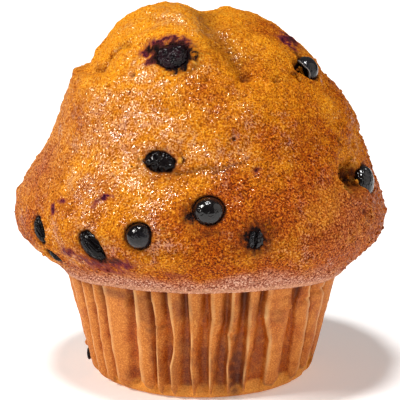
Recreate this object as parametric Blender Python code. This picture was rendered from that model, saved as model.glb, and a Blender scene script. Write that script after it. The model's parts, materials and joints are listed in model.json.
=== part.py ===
"""A muffin with whole berries, baked in a fluted paper case.

The crown is a heap of batter that rose out of its case and set. Every point of it is seen
from one centre inside the heap, so its skin is one rule: how far the skin lies from that
centre in each direction. The rule adds broad rings that go all the way round, swells and
dents with a place of their own, and folds that follow a short path over the skin.

Named sizes are in millimetres and angles in degrees; MM turns a size into metres.
The origin is the middle of the case's base, on the table. +Z is up, -Y is the front.
A direction is an azimuth (0 is +X, -90 the front, 90 the back) and an elevation.
"""

import math

import bmesh
import bpy
from mathutils import Matrix, Vector, noise

MM = 0.001
GAP = 0.3            # air left between neighbouring solids

# Crown: the round heap of baked batter
HEAP_HEIGHT = 44.0   # the centre that the skin is measured from
HEAP_RADIUS = 39.6
HEAP_COLUMNS = 64
HEAP_ROWS = 20
LIP_ELEVATION = -32.0
UNEVEN = 0.45        # slow lumps all over the skin
UNEVEN_SCALE = 3.4

# Rings round the whole crown: elevation, spread, height
RINGS = (
    (-9, 11, 3.5),    # the brim that overhangs the case
    (20, 13, -2.1),   # the waist above the brim
    (42, 11, -1.0),   # the tuck under the shoulders
    (-36, 13, -4.0),  # the undercut that runs in to the case
)

# Swells and dents: azimuth, elevation, spread sideways, spread upwards, height
SWELLS = (
    (180, 21, 50, 13, -1.0),  # waist, drawn in on the left
    (0, 18, 45, 14, 0.9),     # waist, filled out on the right
    (180, 0, 40, 9, 0.6),     # brim on the left
    (-170, 76, 40, 13, 3.8),  # top lobe on the left
    (180, 63, 26, 6, 0.9),    # its outer shoulder
    (180, 54, 30, 6, -0.7),   # the tuck under that shoulder
    (180, 41, 30, 4, 0.6),    # the ledge below the left fold
    (30, 72, 22, 12, 1.7),    # top lobe on the right
    (5, 54, 26, 9, -0.7),     # the slope below it
    (0, -2, 40, 8, -0.7),     # brim on the right, above its edge
    (0, -17, 40, 7, 0.5),     # brim on the right, below its edge
    (0, -30, 50, 7, 0.5),     # underside on the right
    (-88, -1, 24, 8, 0.5),    # front of the brim, between its berries
    (-60, 34, 14, 10, 0.5),   # shoulder under the top fold
    (75, 62, 26, 14, 1.2),    # top lobe at the back
    (120, 8, 26, 14, -0.8),   # dent at the back
    (48, -6, 22, 10, 0.7),    # brim at the back
)

# Folds, where one lobe of batter set against the next: depth, half width, path of directions
FOLDS = (
    (1.7, 3.0, ((84, 76), (-84, 84), (-84, 68), (-79, 60), (-73, 53), (-68, 46))),
    (1.3, 2.4, ((168, 47), (-158, 47), (-147, 49), (-146, 53), (-138, 57), (-121, 54))),
    (0.6, 2.2, ((-123, 67), (-98, 66), (-84, 68))),
    (0.6, 2.2, ((-103, 13), (-95, 14), (-76, 16))),
    (1.4, 2.8, ((40, 70), (66, 56), (98, 50), (124, 40))),
)

# Berries: name, azimuth, elevation, length, width, thickness, turn of the length from level,
# and how deep the middle lies under the skin
BERRIES = (
    ("berry_top_burst", -104, 52, 7.2, 6.6, 5.0, 8, 0.9),
    ("berry_right_shoulder", -28, 47, 6.0, 5.4, 5.2, 60, 0.2),
    ("berry_waist", -104, 17, 7.0, 5.2, 4.4, -8, 1.0),
    ("berry_front", -88, 2, 6.7, 6.6, 6.4, 0, 1.0),
    ("berry_front_left", -108, -5, 5.8, 5.6, 5.4, 0, 0.9),
    ("berry_left_oval", -123, -9, 7.2, 4.9, 4.4, -45, 1.0),
    ("berry_left_edge", -146, -8, 6.0, 4.2, 3.8, -65, 1.0),
    ("berry_left_rim", -143, -15, 5.0, 3.6, 3.2, -40, 0.9),
    ("berry_front_sunk", -75, -6, 5.4, 4.4, 4.2, 80, 1.7),
    ("berry_right_edge", -20, 4, 7.6, 7.2, 5.2, 75, 1.5),
    ("berry_back_high", 112, 56, 6.4, 6.0, 5.6, 20, 1.1),
    ("berry_back_left", 150, 22, 6.8, 5.6, 4.8, -30, 1.1),
    ("berry_back_middle", 97, 20, 6.2, 6.0, 5.8, 0, 1.0),
    ("berry_back_right", 48, 34, 6.8, 6.2, 5.2, 35, 1.2),
    ("berry_back_low", 118, -8, 5.8, 5.4, 5.0, -20, 1.0),
    ("berry_back_rim", 60, -10, 5.4, 4.6, 4.2, 50, 1.0),
)
BERRY_SIDES = 10
BERRY_RINGS = 6
BERRY_DIMPLE = 0.16       # how far the blossom end is drawn in, as a share of the radius
BERRY_DIMPLE_SPREAD = 30

# Hollows that a shrunken berry left beside itself, given as the berries are
HOLLOWS = (
    (-34, 8, 8.4, 6.6, 5.6, 70, 0.2),
    (-35, 48, 3.8, 3.2, 3.2, 60, 0.4),
)

# Paper case: a fluted cup, pressed from one disc of greaseproof paper
WALL_FOOT_RADIUS = 25.6   # over the ridges, where the wall's slope meets the table
WALL_SLOPE = 0.243        # outwards for each millimetre up
FOOT_ROUND = 3.8
PAPER = 0.4               # far thicker than paper, so that the wall is a sound solid
FOOT_ANGLES = (0, 27, 56, 90)
WALL_HEIGHTS = (13.5,)
FLUTE_DEPTH = 1.3
FLUTE_FULL_STEP = 8.0     # a narrower flute is shallower
FLUTE_SHARE = 0.36        # share of a step that is flat ridge, and that is flat valley
FLUTE_SWAY = 0.8
FLUTE_SWAY_TURNS = 13
FLUTE_SWAY_RISE = 6.0
FIRST_RIDGE = -166
FRONT_STEPS = (7.5, 8.5, 10, 11, 7, 10, 7, 10, 13.5, 7, 10.5, 5, 13, 7, 10, 12)
PLAIN_STEPS = 7           # even steps that close the round at the back

# Body of the muffin inside the case
BODY_HEIGHTS = (FOOT_ROUND,)


def towards(azimuth, elevation):
    """The unit vector of a direction."""
    turn = math.radians(azimuth)
    rise = math.radians(elevation)
    level = math.cos(rise)
    return Vector((level * math.cos(turn), level * math.sin(turn), math.sin(rise)))


def skin_axes(azimuth, elevation):
    """East, north and outwards on the skin in a direction."""
    outwards = towards(azimuth, elevation)
    east = towards(azimuth + 90, 0)
    return east, outwards.cross(east), outwards


def bell(offset, spread):
    return math.exp(-((offset / spread) ** 2))


def swell_height(look, azimuth, elevation, sideways, upwards, height):
    """What one swell adds to the skin in the direction of look."""
    east, north, outwards = skin_axes(azimuth, elevation)
    arc = math.degrees(look.angle(outwards))
    flat = Vector((look.dot(east), look.dot(north)))
    if flat.length < 1e-9:
        return height
    flat.normalize()
    return height * bell(arc * flat.x, sideways) * bell(arc * flat.y, upwards)


def fold_distance(look, path):
    """Millimetres over the skin from a direction to a fold's path."""
    nearest = math.pi
    for start, end in zip(path, path[1:]):
        first = towards(*start)
        run = towards(*end) - first
        along = max(0.0, min(1.0, (look - first).dot(run) / run.length_squared))
        nearest = min(nearest, look.angle(first + run * along))
    return HEAP_RADIUS * nearest


def skin_radius(azimuth, elevation):
    """Distance from the heap's centre to its skin in a direction."""
    look = towards(azimuth, elevation)
    radius = HEAP_RADIUS + UNEVEN * noise.noise(look * UNEVEN_SCALE)
    radius += sum(height * bell(elevation - middle, spread) for middle, spread, height in RINGS)
    radius += sum(swell_height(look, *swell) for swell in SWELLS)
    for depth, half_width, path in FOLDS:
        radius -= depth * bell(fold_distance(look, path), half_width)
    return radius


def skin_point(azimuth, elevation, depth=0.0):
    """A point of the skin, or one that lies this deep under it."""
    out = skin_radius(azimuth, elevation) - depth
    return towards(azimuth, elevation) * out + Vector((0, 0, HEAP_HEIGHT))


def lip_elevation(azimuth):
    """Where the crown's underside ends. It is highest at the front and lowest at the sides."""
    turn = math.radians(azimuth + 90)
    return LIP_ELEVATION + math.cos(turn) + math.cos(2 * turn)


def lip_point(azimuth):
    return skin_point(azimuth, lip_elevation(azimuth))


def wall_radius(height):
    """Radius of the case's wall over its ridges."""
    return WALL_FOOT_RADIUS + WALL_SLOPE * height


def flutes():
    """The case's flutes as (azimuth of the ridge, step to the next ridge)."""
    plain = (360 - 2 * sum(FRONT_STEPS)) / PLAIN_STEPS
    steps = FRONT_STEPS + FRONT_STEPS[::-1] + (plain,) * PLAIN_STEPS
    ridge = FIRST_RIDGE
    found = []
    for step in steps:
        found.append((ridge, step))
        ridge += step
    return found


def flute_corners():
    """Corners round the case as (azimuth, depth below the ridges)."""
    half = FLUTE_SHARE / 2
    corners = []
    for ridge, step in flutes():
        depth = FLUTE_DEPTH * min(1.0, step / FLUTE_FULL_STEP)
        for share, drop in ((-half, 0), (half, 0), (0.5 - half, depth), (0.5 + half, depth)):
            corners.append((ridge + share * step, drop))
    return corners


def sway(azimuth, height):
    """Degrees by which a fold of the paper wanders sideways as it climbs."""
    return FLUTE_SWAY * math.sin(math.radians(FLUTE_SWAY_TURNS * azimuth) + height / FLUTE_SWAY_RISE)


def case_ring(corners, radius, height, fluted):
    """One ring of the case. Its height is a number, or a function of azimuth."""
    ring = []
    for azimuth, drop in corners:
        level = height(azimuth) if callable(height) else height
        out = (radius(level) if callable(radius) else radius) - drop * fluted
        turned = azimuth + sway(azimuth, level) * fluted
        ring.append(towards(turned, 0) * out + Vector((0, 0, level)))
    return ring


def case_side(corners, inset, rim):
    """The rings of one side of the paper, from its base to its rim."""
    middle = wall_radius(FOOT_ROUND) - FOOT_ROUND
    bend = FOOT_ROUND - inset
    rings = []
    for angle in FOOT_ANGLES:
        out = math.sin(math.radians(angle))
        height = FOOT_ROUND - bend * math.cos(math.radians(angle))
        rings.append(case_ring(corners, middle + bend * out, height, out * out))
    for height in WALL_HEIGHTS + (rim,):
        rings.append(case_ring(corners, lambda level: wall_radius(level) - inset, height, 1))
    return rings


def body_rings(azimuths):
    """The part of the muffin inside the case: a cone just clear of the flutes' valleys."""
    clear = FLUTE_DEPTH + PAPER + GAP
    lips = [lip_point(azimuth) for azimuth in azimuths]
    neck = []
    for azimuth, lip in zip(azimuths, lips):
        neck.append(towards(azimuth, 0) * (wall_radius(lip.z) - clear) + Vector((0, 0, lip.z)))
    rings = [neck]
    for height in BODY_HEIGHTS:
        out = wall_radius(height) - clear
        rings.append([towards(azimuth, 0) * out + Vector((0, 0, height)) for azimuth in azimuths])
    floor = PAPER + GAP
    out = wall_radius(FOOT_ROUND) - FOOT_ROUND - GAP
    rings.append([towards(azimuth, 0) * out + Vector((0, 0, floor)) for azimuth in azimuths])
    return rings


def skin_rings(azimuths):
    """Rings of the crown's skin, from just under its top down to its lip."""
    rings = []
    for row in range(1, HEAP_ROWS + 1):
        share = row / HEAP_ROWS
        ring = []
        for azimuth in azimuths:
            elevation = 90 + (lip_elevation(azimuth) - 90) * share
            ring.append(skin_point(azimuth, elevation))
        rings.append(ring)
    return rings


def stitched(rings, top=None, bottom=None):
    """A closed mesh through rings of equal count, each seen from outside as running left."""
    bm = bmesh.new()
    loops = [[bm.verts.new(point * MM) for point in ring] for ring in rings]
    for upper, lower in zip(loops, loops[1:]):
        for here in range(len(upper)):
            after = (here + 1) % len(upper)
            bm.faces.new((upper[here], lower[here], lower[after], upper[after]))
    for loop, pole in ((loops[0], top), (loops[-1], bottom)):
        if pole is None:
            continue
        tip = bm.verts.new(pole * MM)
        for here in range(len(loop)):
            after = (here + 1) % len(loop)
            bm.faces.new((tip, loop[here], loop[after]))
    bmesh.ops.recalc_face_normals(bm, faces=bm.faces)
    return bm


def material(name, colour, roughness):
    found = bpy.data.materials.new(name)
    found.use_nodes = True
    shader = found.node_tree.nodes["Principled BSDF"]
    shader.inputs["Base Color"].default_value = (*colour, 1)
    shader.inputs["Roughness"].default_value = roughness
    shader.inputs["Metallic"].default_value = 0.0
    return found


def placed(name, bm, finish):
    """An object made of a bmesh, shaded smooth."""
    mesh = bpy.data.meshes.new(name)
    bm.to_mesh(mesh)
    bm.free()
    mesh.shade_smooth()
    if finish:
        mesh.materials.append(finish)
    obj = bpy.data.objects.new(name, mesh)
    bpy.context.scene.collection.objects.link(obj)
    return obj


def berry_shape(length, width, thickness, grow=0.0):
    """A berry about its own middle, with its blossom end along +Z drawn in."""
    rings = []
    half = Vector((length, width, thickness)) / 2 + Vector((grow, grow, grow))
    for row in range(BERRY_RINGS + 1):
        down = 180 * row / BERRY_RINGS
        share = 1 - BERRY_DIMPLE * bell(down, BERRY_DIMPLE_SPREAD)
        ring = []
        for side in range(BERRY_SIDES):
            point = towards(360 * side / BERRY_SIDES, 90 - down) * share
            ring.append(Vector(part * scale for part, scale in zip(point, half)))
        rings.append(ring)
    return stitched(rings[1:-1], rings[0][0], rings[-1][0])


def set_in_skin(obj, azimuth, elevation, turn, sunk):
    """Places an object on the crown: its X along the skin, its Z outwards."""
    east, north, outwards = skin_axes(azimuth, elevation)
    obj.matrix_world = (
        Matrix.Translation(skin_point(azimuth, elevation, sunk) * MM)
        @ Matrix((east, north, outwards)).transposed().to_4x4()
        @ Matrix.Rotation(math.radians(turn), 4, "Z")
    )


def add_berry(row, finish):
    name, azimuth, elevation, length, width, thickness, turn, sunk = row
    berry = placed(name, berry_shape(length, width, thickness), finish)
    set_in_skin(berry, azimuth, elevation, turn, sunk)


def cut_pocket(crown, name, azimuth, elevation, length, width, thickness, turn, sunk, grow):
    """Takes the room of a berry or a hollow out of the crown."""
    cutter = placed(name, berry_shape(length, width, thickness, grow), None)
    set_in_skin(cutter, azimuth, elevation, turn, sunk)
    cutter.hide_render = True
    cutter.display_type = "WIRE"
    pocket = crown.modifiers.new(name, "BOOLEAN")
    pocket.operation = "DIFFERENCE"
    pocket.solver = "EXACT"
    pocket.object = cutter


def add_muffin(finish):
    azimuths = [360 * column / HEAP_COLUMNS for column in range(HEAP_COLUMNS)]
    rings = skin_rings(azimuths) + body_rings(azimuths)
    floor = Vector((0, 0, PAPER + GAP))
    crown = placed("muffin", stitched(rings, skin_point(0, 90), floor), finish)
    for name, *place in BERRIES:
        cut_pocket(crown, name + "_pocket", *place, GAP)
    for number, place in enumerate(HOLLOWS, start=1):
        cut_pocket(crown, f"hollow_{number}", *place, 0.0)


def add_case(finish):
    """The fluted paper cup. Its rim follows the crown's lip from just under it."""
    corners = flute_corners()

    def rim(azimuth):
        return lip_point(azimuth).z - 1.5 * GAP

    outside = case_side(corners, 0, rim)
    inside = case_side(corners, PAPER, rim)
    rings = outside + inside[::-1]
    base = Vector((0, 0, 0))
    floor = Vector((0, 0, PAPER))
    placed("paper_case", stitched(rings, base, floor), finish)


def main():
    for obj in list(bpy.data.objects):
        bpy.data.objects.remove(obj)
    crust = material("baked crust", (0.50, 0.20, 0.035), 0.55)
    paper = material("oiled baking paper", (0.50, 0.27, 0.10), 0.60)
    skin = material("berry skin", (0.018, 0.018, 0.030), 0.40)
    add_muffin(crust)
    add_case(paper)
    for row in BERRIES:
        add_berry(row, skin)


main()
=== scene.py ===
# %% [markdown]
# # A berry muffin in its paper case
# The muffin is one heap of batter that rose out of a fluted paper cup and browned. The solids of the
# part are its fixed frame: they are loaded first, and every piece below is laid on to them, so
# that each size comes from the frame and not from guesswork.

# %% Load the fixed frame
import json
import math

import bmesh
import bpy
import numpy as np
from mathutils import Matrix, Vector

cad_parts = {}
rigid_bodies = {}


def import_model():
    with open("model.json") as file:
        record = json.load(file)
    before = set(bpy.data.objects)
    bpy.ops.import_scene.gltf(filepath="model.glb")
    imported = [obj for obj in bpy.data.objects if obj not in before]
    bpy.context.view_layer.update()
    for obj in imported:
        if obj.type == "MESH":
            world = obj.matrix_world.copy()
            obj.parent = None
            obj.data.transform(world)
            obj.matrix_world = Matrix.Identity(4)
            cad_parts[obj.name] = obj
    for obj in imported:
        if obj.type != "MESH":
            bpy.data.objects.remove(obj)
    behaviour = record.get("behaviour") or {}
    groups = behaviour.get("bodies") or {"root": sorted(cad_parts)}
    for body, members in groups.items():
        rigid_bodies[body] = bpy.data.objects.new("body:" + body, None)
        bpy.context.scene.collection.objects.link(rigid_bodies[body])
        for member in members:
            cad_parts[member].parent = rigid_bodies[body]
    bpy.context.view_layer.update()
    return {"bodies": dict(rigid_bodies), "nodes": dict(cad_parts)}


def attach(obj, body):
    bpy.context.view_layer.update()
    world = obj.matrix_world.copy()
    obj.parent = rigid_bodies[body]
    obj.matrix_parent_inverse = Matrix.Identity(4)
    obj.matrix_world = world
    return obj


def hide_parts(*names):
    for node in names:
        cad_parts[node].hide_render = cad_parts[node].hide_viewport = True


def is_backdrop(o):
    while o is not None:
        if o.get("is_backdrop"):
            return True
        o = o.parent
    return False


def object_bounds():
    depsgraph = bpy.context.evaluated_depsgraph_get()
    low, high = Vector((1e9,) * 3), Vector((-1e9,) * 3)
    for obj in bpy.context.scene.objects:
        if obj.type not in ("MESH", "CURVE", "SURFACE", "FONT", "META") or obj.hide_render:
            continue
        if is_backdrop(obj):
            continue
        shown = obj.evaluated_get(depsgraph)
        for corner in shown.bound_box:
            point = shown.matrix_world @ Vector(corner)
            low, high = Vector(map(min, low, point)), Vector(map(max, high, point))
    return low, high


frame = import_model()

BODY = next(iter(frame["bodies"]))

# %% [markdown]
# ## Camera, floor and lamps
# A muffin is shown best from a little above its rim, from far enough away that the case isn't
# foreshortened. A soft box high on the left gives the crust its gloss, a pale
# floor throws light back under the brim, and a weaker box on the right keeps the case readable.
# Measures in this file are millimetres, and MM turns them into Blender's metres.

# %% Camera
MM = 0.001
CAMERA_AWAY = 320.0
CAMERA_RISE = 11.3           # degrees above level
CAMERA_AIM = Vector((-0.45, 0.0, 40.0))
LENS = 123.84                # on the usual 36 mm wide sensor

rise = math.radians(CAMERA_RISE)
eye = CAMERA_AIM + Vector((0, -math.cos(rise), math.sin(rise))) * CAMERA_AWAY
camera = bpy.data.objects.new("camera", bpy.data.cameras.new("camera"))
camera.data.lens = LENS
camera.data.clip_start = 0.01
camera.location = eye * MM
camera.rotation_euler = (CAMERA_AIM - eye).to_track_quat("-Z", "Y").to_euler()
bpy.context.scene.collection.objects.link(camera)
bpy.context.scene.camera = camera
bpy.context.scene.view_settings.view_transform = "Standard"
print("camera at", tuple(round(value) for value in eye), "mm")


# %% Colours and nodes
def colour(code):
    """A linear colour, with alpha, from an sRGB hex code."""
    parts = [int(code[place:place + 2], 16) / 255 for place in (1, 3, 5)]
    return tuple(p / 12.92 if p <= 0.04045 else ((p + 0.055) / 1.055) ** 2.4 for p in parts) + (1.0,)


def wire(tree, node, links):
    """Sets inputs of a node, by name or number, to a value or to another node's output."""
    for key, value in links.items():
        if isinstance(value, bpy.types.Node):
            value = next(socket for socket in value.outputs if socket.enabled)
        if isinstance(value, bpy.types.NodeSocket):
            tree.links.new(value, node.inputs[key])
        else:
            node.inputs[key].default_value = value


def add(tree, kind, links=None, stops=None, **settings):
    """Adds one node with its settings, its links and, on a colour ramp, its stops."""
    made = tree.nodes.new(kind)
    for name, value in settings.items():
        setattr(made, name, value)
    wire(tree, made, links or {})
    for number, (place, code) in enumerate(stops or ()):
        points = made.color_ramp.elements
        point = points[number] if number < 2 else points.new(place)
        point.position, point.color = place, colour(code)
    return made


def material(name):
    """A new material, its node tree and its Principled shader."""
    made = bpy.data.materials.new(name)
    made.use_nodes = True
    return made, made.node_tree, made.node_tree.nodes["Principled BSDF"]


# %% Floor, sky and lamps
FLOOR_HALF = 6.0             # metres: past the edge of every view
SKY_STRENGTH = 0.12
FLOOR_GLOW = 0.22            # a light table: it keeps the floor pale in the shade
LAMPS = (   # name, azimuth and elevation it comes from, softness in degrees, strength, colour
    ("left_softbox", -156, 40, 14, 2.15, "#fffaf4"),
    ("top_softbox", -125, 76, 10, 2.1, "#ffffff"),
    ("right_panel", -20, 30, 60, 0.85, "#fff6ee"),
)

floor_mesh = bpy.data.meshes.new("floor")
floor_mesh.from_pydata(
    [(x * FLOOR_HALF, y * FLOOR_HALF, 0) for x, y in ((-1, -1), (1, -1), (1, 1), (-1, 1))],
    [], [(0, 1, 2, 3)])
floor = bpy.data.objects.new("floor", floor_mesh)
bpy.context.scene.collection.objects.link(floor)
paint, tree, shader = material("matt white studio paint")
wire(tree, shader, {
    "Base Color": colour("#f8f8f8"), "Emission Color": colour("#ffffff"),
    "Emission Strength": FLOOR_GLOW, "Roughness": 0.9})
floor_mesh.materials.append(paint)
floor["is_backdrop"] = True

world = bpy.data.worlds.new("studio")
bpy.context.scene.world = world
world.use_nodes = True
sky = world.node_tree.nodes["Background"]
wire(world.node_tree, sky, {"Color": colour("#fffdf9"), "Strength": SKY_STRENGTH})

for name, turn, up, softness, strength, tint in LAMPS:
    lamp = bpy.data.lights.new(name, "SUN")
    lamp.angle = math.radians(softness)
    lamp.energy = strength
    lamp.color = colour(tint)[:3]
    turn, up = math.radians(turn), math.radians(up)
    level = math.cos(up)
    from_there = Vector((level * math.cos(turn), level * math.sin(turn), math.sin(up)))
    held = bpy.data.objects.new(name, lamp)
    held.rotation_euler = (-from_there).to_track_quat("-Z", "Y").to_euler()
    bpy.context.scene.collection.objects.link(held)
print(len(LAMPS), "lamps")

# %% [markdown]
# ## Laying a fine net on a coarse solid
# The frame's solids are faceted. To give them a skin fine enough for grains and folds, a
# net of small, even cells is drawn on to each solid, as a wet cloth is laid over it. A Geometry
# Nodes tree does that by rule: each point of the net looks at an aim point on the object's axis,
# the tree finds where that line meets the solid, and a blur of the distances rounds off the
# facets. Noise of two sizes then raises lumps and pebbles, and cells of a Voronoi pattern sink pores.
# Where a berry's pocket is cut into the solid, the distance comes from the skin around it.


# %% Helpers for meshes
def points_of(mesh):
    """A mesh's points in millimetres, as rows of x, y, z."""
    flat = np.empty(len(mesh.vertices) * 3, np.float32)
    mesh.vertices.foreach_get("co", flat)
    return flat.reshape(-1, 3).astype(float) / MM


def set_points(mesh, points):
    mesh.vertices.foreach_set("co", (points * MM).astype(np.float32).ravel())
    mesh.update()


def new_object(name, points, faces):
    """A mesh object from points in millimetres and lists of corners."""
    mesh = bpy.data.meshes.new(name)
    mesh.from_pydata((np.asarray(points) * MM).tolist(), [], faces)
    mesh.update()
    made = bpy.data.objects.new(name, mesh)
    bpy.context.scene.collection.objects.link(made)
    return made


def set_attribute(mesh, name, values):
    """One number for each point, which a material reads by name."""
    found = mesh.attributes.new(name, "FLOAT", "POINT")
    found.data.foreach_set("value", np.asarray(values, np.float32))


def settled(made):
    """The object with its modifiers worked out into a plain mesh."""
    graph = bpy.context.evaluated_depsgraph_get()
    mesh = bpy.data.meshes.new_from_object(made.evaluated_get(graph))
    made.modifiers.clear()
    made.data = mesh
    mesh.name = made.name
    return made


def merged_copy(name, *nodes):
    """One hidden object with copies of the frame's solids, their loose triangles joined."""
    bm = bmesh.new()
    for node in nodes:
        bm.from_mesh(frame["nodes"][node].data)
    bmesh.ops.remove_doubles(bm, verts=bm.verts, dist=0.001 * MM)
    mesh = bpy.data.meshes.new(name)
    bm.to_mesh(mesh)
    bm.free()
    return bpy.data.objects.new(name, mesh)


# %% Helpers for Geometry Nodes
def new_tree(name, inputs):
    """A Geometry Nodes tree with named inputs, each (name, kind, value), and its Group Input."""
    made = bpy.data.node_groups.new(name, "GeometryNodeTree")
    for in_out in ("INPUT", "OUTPUT"):
        made.interface.new_socket("Geometry", in_out=in_out, socket_type="NodeSocketGeometry")
    for label, kind, value in inputs:
        socket = made.interface.new_socket(label, in_out="INPUT", socket_type="NodeSocket" + kind)
        if value is not None:
            socket.default_value = value
    return made, made.nodes.new("NodeGroupInput").outputs


def add_swing(tree, height, pattern, reach, amount):
    """A height raised and lowered by up to an amount, as a noise within reach of 0.5 goes."""
    swing = add(tree, "ShaderNodeMapRange", {0: pattern, 1: 0.5 - reach, 2: 0.5 + reach, 3: -1.0, 4: 1.0})
    return add(tree, "ShaderNodeMath", {0: swing, 1: amount, 2: height}, operation="MULTIPLY_ADD")


def add_relief(tree, given, height, label, where, detail):
    """A height with noise on it, of the size and height that the inputs with this label give."""
    fine = add(tree, "ShaderNodeMath", {0: 1.0, 1: given[label + " size"]}, operation="DIVIDE")
    pattern = add(tree, "ShaderNodeTexNoise", {
        "Vector": where, "W": given["Seed"], "Scale": fine, "Detail": detail}, noise_dimensions="4D")
    return add_swing(tree, height, pattern, 0.25, given[label + " height"])


def lowered(tree, height, share, depth):
    """A height lowered by a share of a depth."""
    deep = add(tree, "ShaderNodeMath", {0: share, 1: depth}, operation="MULTIPLY")
    return add(tree, "ShaderNodeMath", {0: height, 1: deep}, operation="SUBTRACT")


def end_tree(tree, geometry, finish):
    """Ends a tree: shaded smooth, instances made real, the finish set, the result handed out."""
    smooth = add(tree, "GeometryNodeSetShadeSmooth", {"Geometry": geometry})
    real = add(tree, "GeometryNodeRealizeInstances", {"Geometry": smooth})
    painted = add(tree, "GeometryNodeSetMaterial", {"Geometry": real, "Material": finish})
    add(tree, "NodeGroupOutput", {"Geometry": painted})
    print("tree", tree.name, "of", len(tree.nodes), "nodes")
    return tree


def run_tree(made, tree, values):
    """Runs a tree on an object with these inputs, and keeps the result as a plain mesh."""
    modifier = made.modifiers.new(tree.name, "NODES")
    modifier.node_group = tree
    for item in tree.interface.items_tree:
        if item.in_out == "INPUT" and item.name in values:
            modifier[item.identifier] = values[item.name]
    return settled(made)


# %% The tree that lays a net on a solid
tree, given = new_tree("lay_net_on_solid", (
    ("Solid", "Object", None), ("Berries", "Object", None), ("Finish", "Material", None),
    ("Aim low", "Float", 0.0), ("Aim high", "Float", 0.0),
    ("Pocket reach", "Float", 0.0), ("Pocket steps", "Int", 0), ("Round steps", "Int", 0),
    ("Lump size", "Float", 0.008), ("Lump height", "Float", 0.0),
    ("Pebble size", "Float", 0.002), ("Pebble height", "Float", 0.0),
    ("Pore spacing", "Float", 0.004), ("Pore size", "Float", 0.0005), ("Pore depth", "Float", 0.0),
    ("Seed", "Float", 0.0)))
place = add(tree, "GeometryNodeInputPosition")
parts = add(tree, "ShaderNodeSeparateXYZ", {0: place})
level = add(tree, "ShaderNodeClamp", {0: parts.outputs["Z"], 1: given["Aim low"], 2: given["Aim high"]})
aim = add(tree, "ShaderNodeCombineXYZ", {"Z": level})
inwards = add(tree, "ShaderNodeVectorMath", {0: aim, 1: place}, operation="SUBTRACT")
outwards = add(tree, "ShaderNodeVectorMath", {0: place, 1: aim}, operation="SUBTRACT")
outwards = add(tree, "ShaderNodeVectorMath", {0: outwards}, operation="NORMALIZE")
solid = add(tree, "GeometryNodeObjectInfo", {"Object": given["Solid"]})
ray = add(tree, "GeometryNodeRaycast", {
    "Target Geometry": solid.outputs["Geometry"], "Source Position": place,
    "Ray Direction": inwards, "Ray Length": 0.2})
reach = add(tree, "ShaderNodeVectorMath", {0: aim, 1: ray.outputs["Hit Position"]}, operation="DISTANCE")
berries = add(tree, "GeometryNodeObjectInfo", {"Object": given["Berries"]})
near = add(tree, "GeometryNodeProximity", {
    "Geometry": berries.outputs["Geometry"], "Sample Position": ray.outputs["Hit Position"]})
in_pocket = add(tree, "ShaderNodeMath", {0: near.outputs["Distance"], 1: given["Pocket reach"]},
                operation="LESS_THAN")
filled = add(tree, "GeometryNodeBlurAttribute", {
    "Value": reach.outputs["Value"], "Iterations": given["Pocket steps"], "Weight": in_pocket})
rounded = add(tree, "GeometryNodeBlurAttribute", {"Value": filled, "Iterations": given["Round steps"]})
shaved = add(tree, "ShaderNodeMath", {0: filled, 1: rounded}, operation="SUBTRACT")   # given back below
shaved = add(tree, "GeometryNodeBlurAttribute", {"Value": shaved, "Iterations": given["Round steps"]})
rounded = add(tree, "ShaderNodeMath", {0: rounded, 1: shaved}, operation="ADD")


def net_point(distance):
    """The net's point at this distance from its aim point."""
    along = add(tree, "ShaderNodeCombineXYZ", {0: distance, 1: distance, 2: distance})
    return add(tree, "ShaderNodeVectorMath", {0: outwards, 1: along, 2: aim}, operation="MULTIPLY_ADD")


skin = net_point(rounded)
height = rounded
for label, detail in (("Lump", 1.0), ("Pebble", 1.5)):
    height = add_relief(tree, given, height, label, skin, detail)
fine = add(tree, "ShaderNodeMath", {0: 1.0, 1: given["Pore spacing"]}, operation="DIVIDE")
cells = add(tree, "ShaderNodeTexVoronoi", {"Vector": skin, "W": given["Seed"], "Scale": fine},
            voronoi_dimensions="4D")
across = add(tree, "ShaderNodeMath", {0: given["Pore size"], 1: fine}, operation="MULTIPLY")
sunk = add(tree, "ShaderNodeMapRange", {0: cells.outputs["Distance"], 1: 0.0, 2: across, 3: 1.0, 4: 0.0},
           interpolation_type="SMOOTHSTEP")
chosen = add(tree, "FunctionNodeSeparateColor", {0: cells.outputs["Color"]})
sunk = add(tree, "ShaderNodeMath", {0: sunk, 1: chosen.outputs[0]}, operation="MULTIPLY")
height = lowered(tree, height, sunk, given["Pore depth"])
moved = add(tree, "GeometryNodeSetPosition", {
    "Geometry": given["Geometry"], "Selection": ray.outputs["Is Hit"], "Position": net_point(height)})
lay_net = end_tree(tree, moved, given["Finish"])

# %% [markdown]
# ## The crown's net
# The crown is a dome with a square patch of cells over its top and rings of cells from there down
# to the lip, where the crust meets the paper. A plain globe of meridians would crowd its cells at
# the pole; the square patch, folded into a round one, keeps all cells close to half a
# millimetre, which is as fine as one piece can afford.

# %% Points of the crown's net
HEAP_CENTRE = np.array([0.0, 0.0, 44.0])
HEAP_RADIUS = 39.6
LIP_ELEVATION = -28.5
CAP_CELLS = 136
CAP_EDGE = 45.0              # elevation where the square patch ends
SIDE_ROWS = 114
NET_AWAY = 62.0              # the net hangs this far from the heap's centre before it is laid


def directions(azimuth, elevation):
    """Unit vectors towards azimuths and elevations in degrees."""
    turn, rise = np.radians(azimuth), np.radians(elevation)
    return np.stack([np.cos(rise) * np.cos(turn), np.cos(rise) * np.sin(turn),
                     np.sin(rise) + 0 * turn], -1)


def lip_elevation(azimuth):
    """Where the crown's underside ends, as in the part's source: highest at the front."""
    turn = np.radians(azimuth + 90)
    return LIP_ELEVATION + 0.4 + np.cos(turn) + 1.6 * np.cos(2 * turn)


def ring_faces(rings):
    """Four-sided faces between rings of point numbers, each ring closed on itself."""
    after = np.roll(rings, -1, axis=1)
    return np.stack([rings[:-1], rings[1:], after[1:], after[:-1]], -1).reshape(-1, 4)


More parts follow.
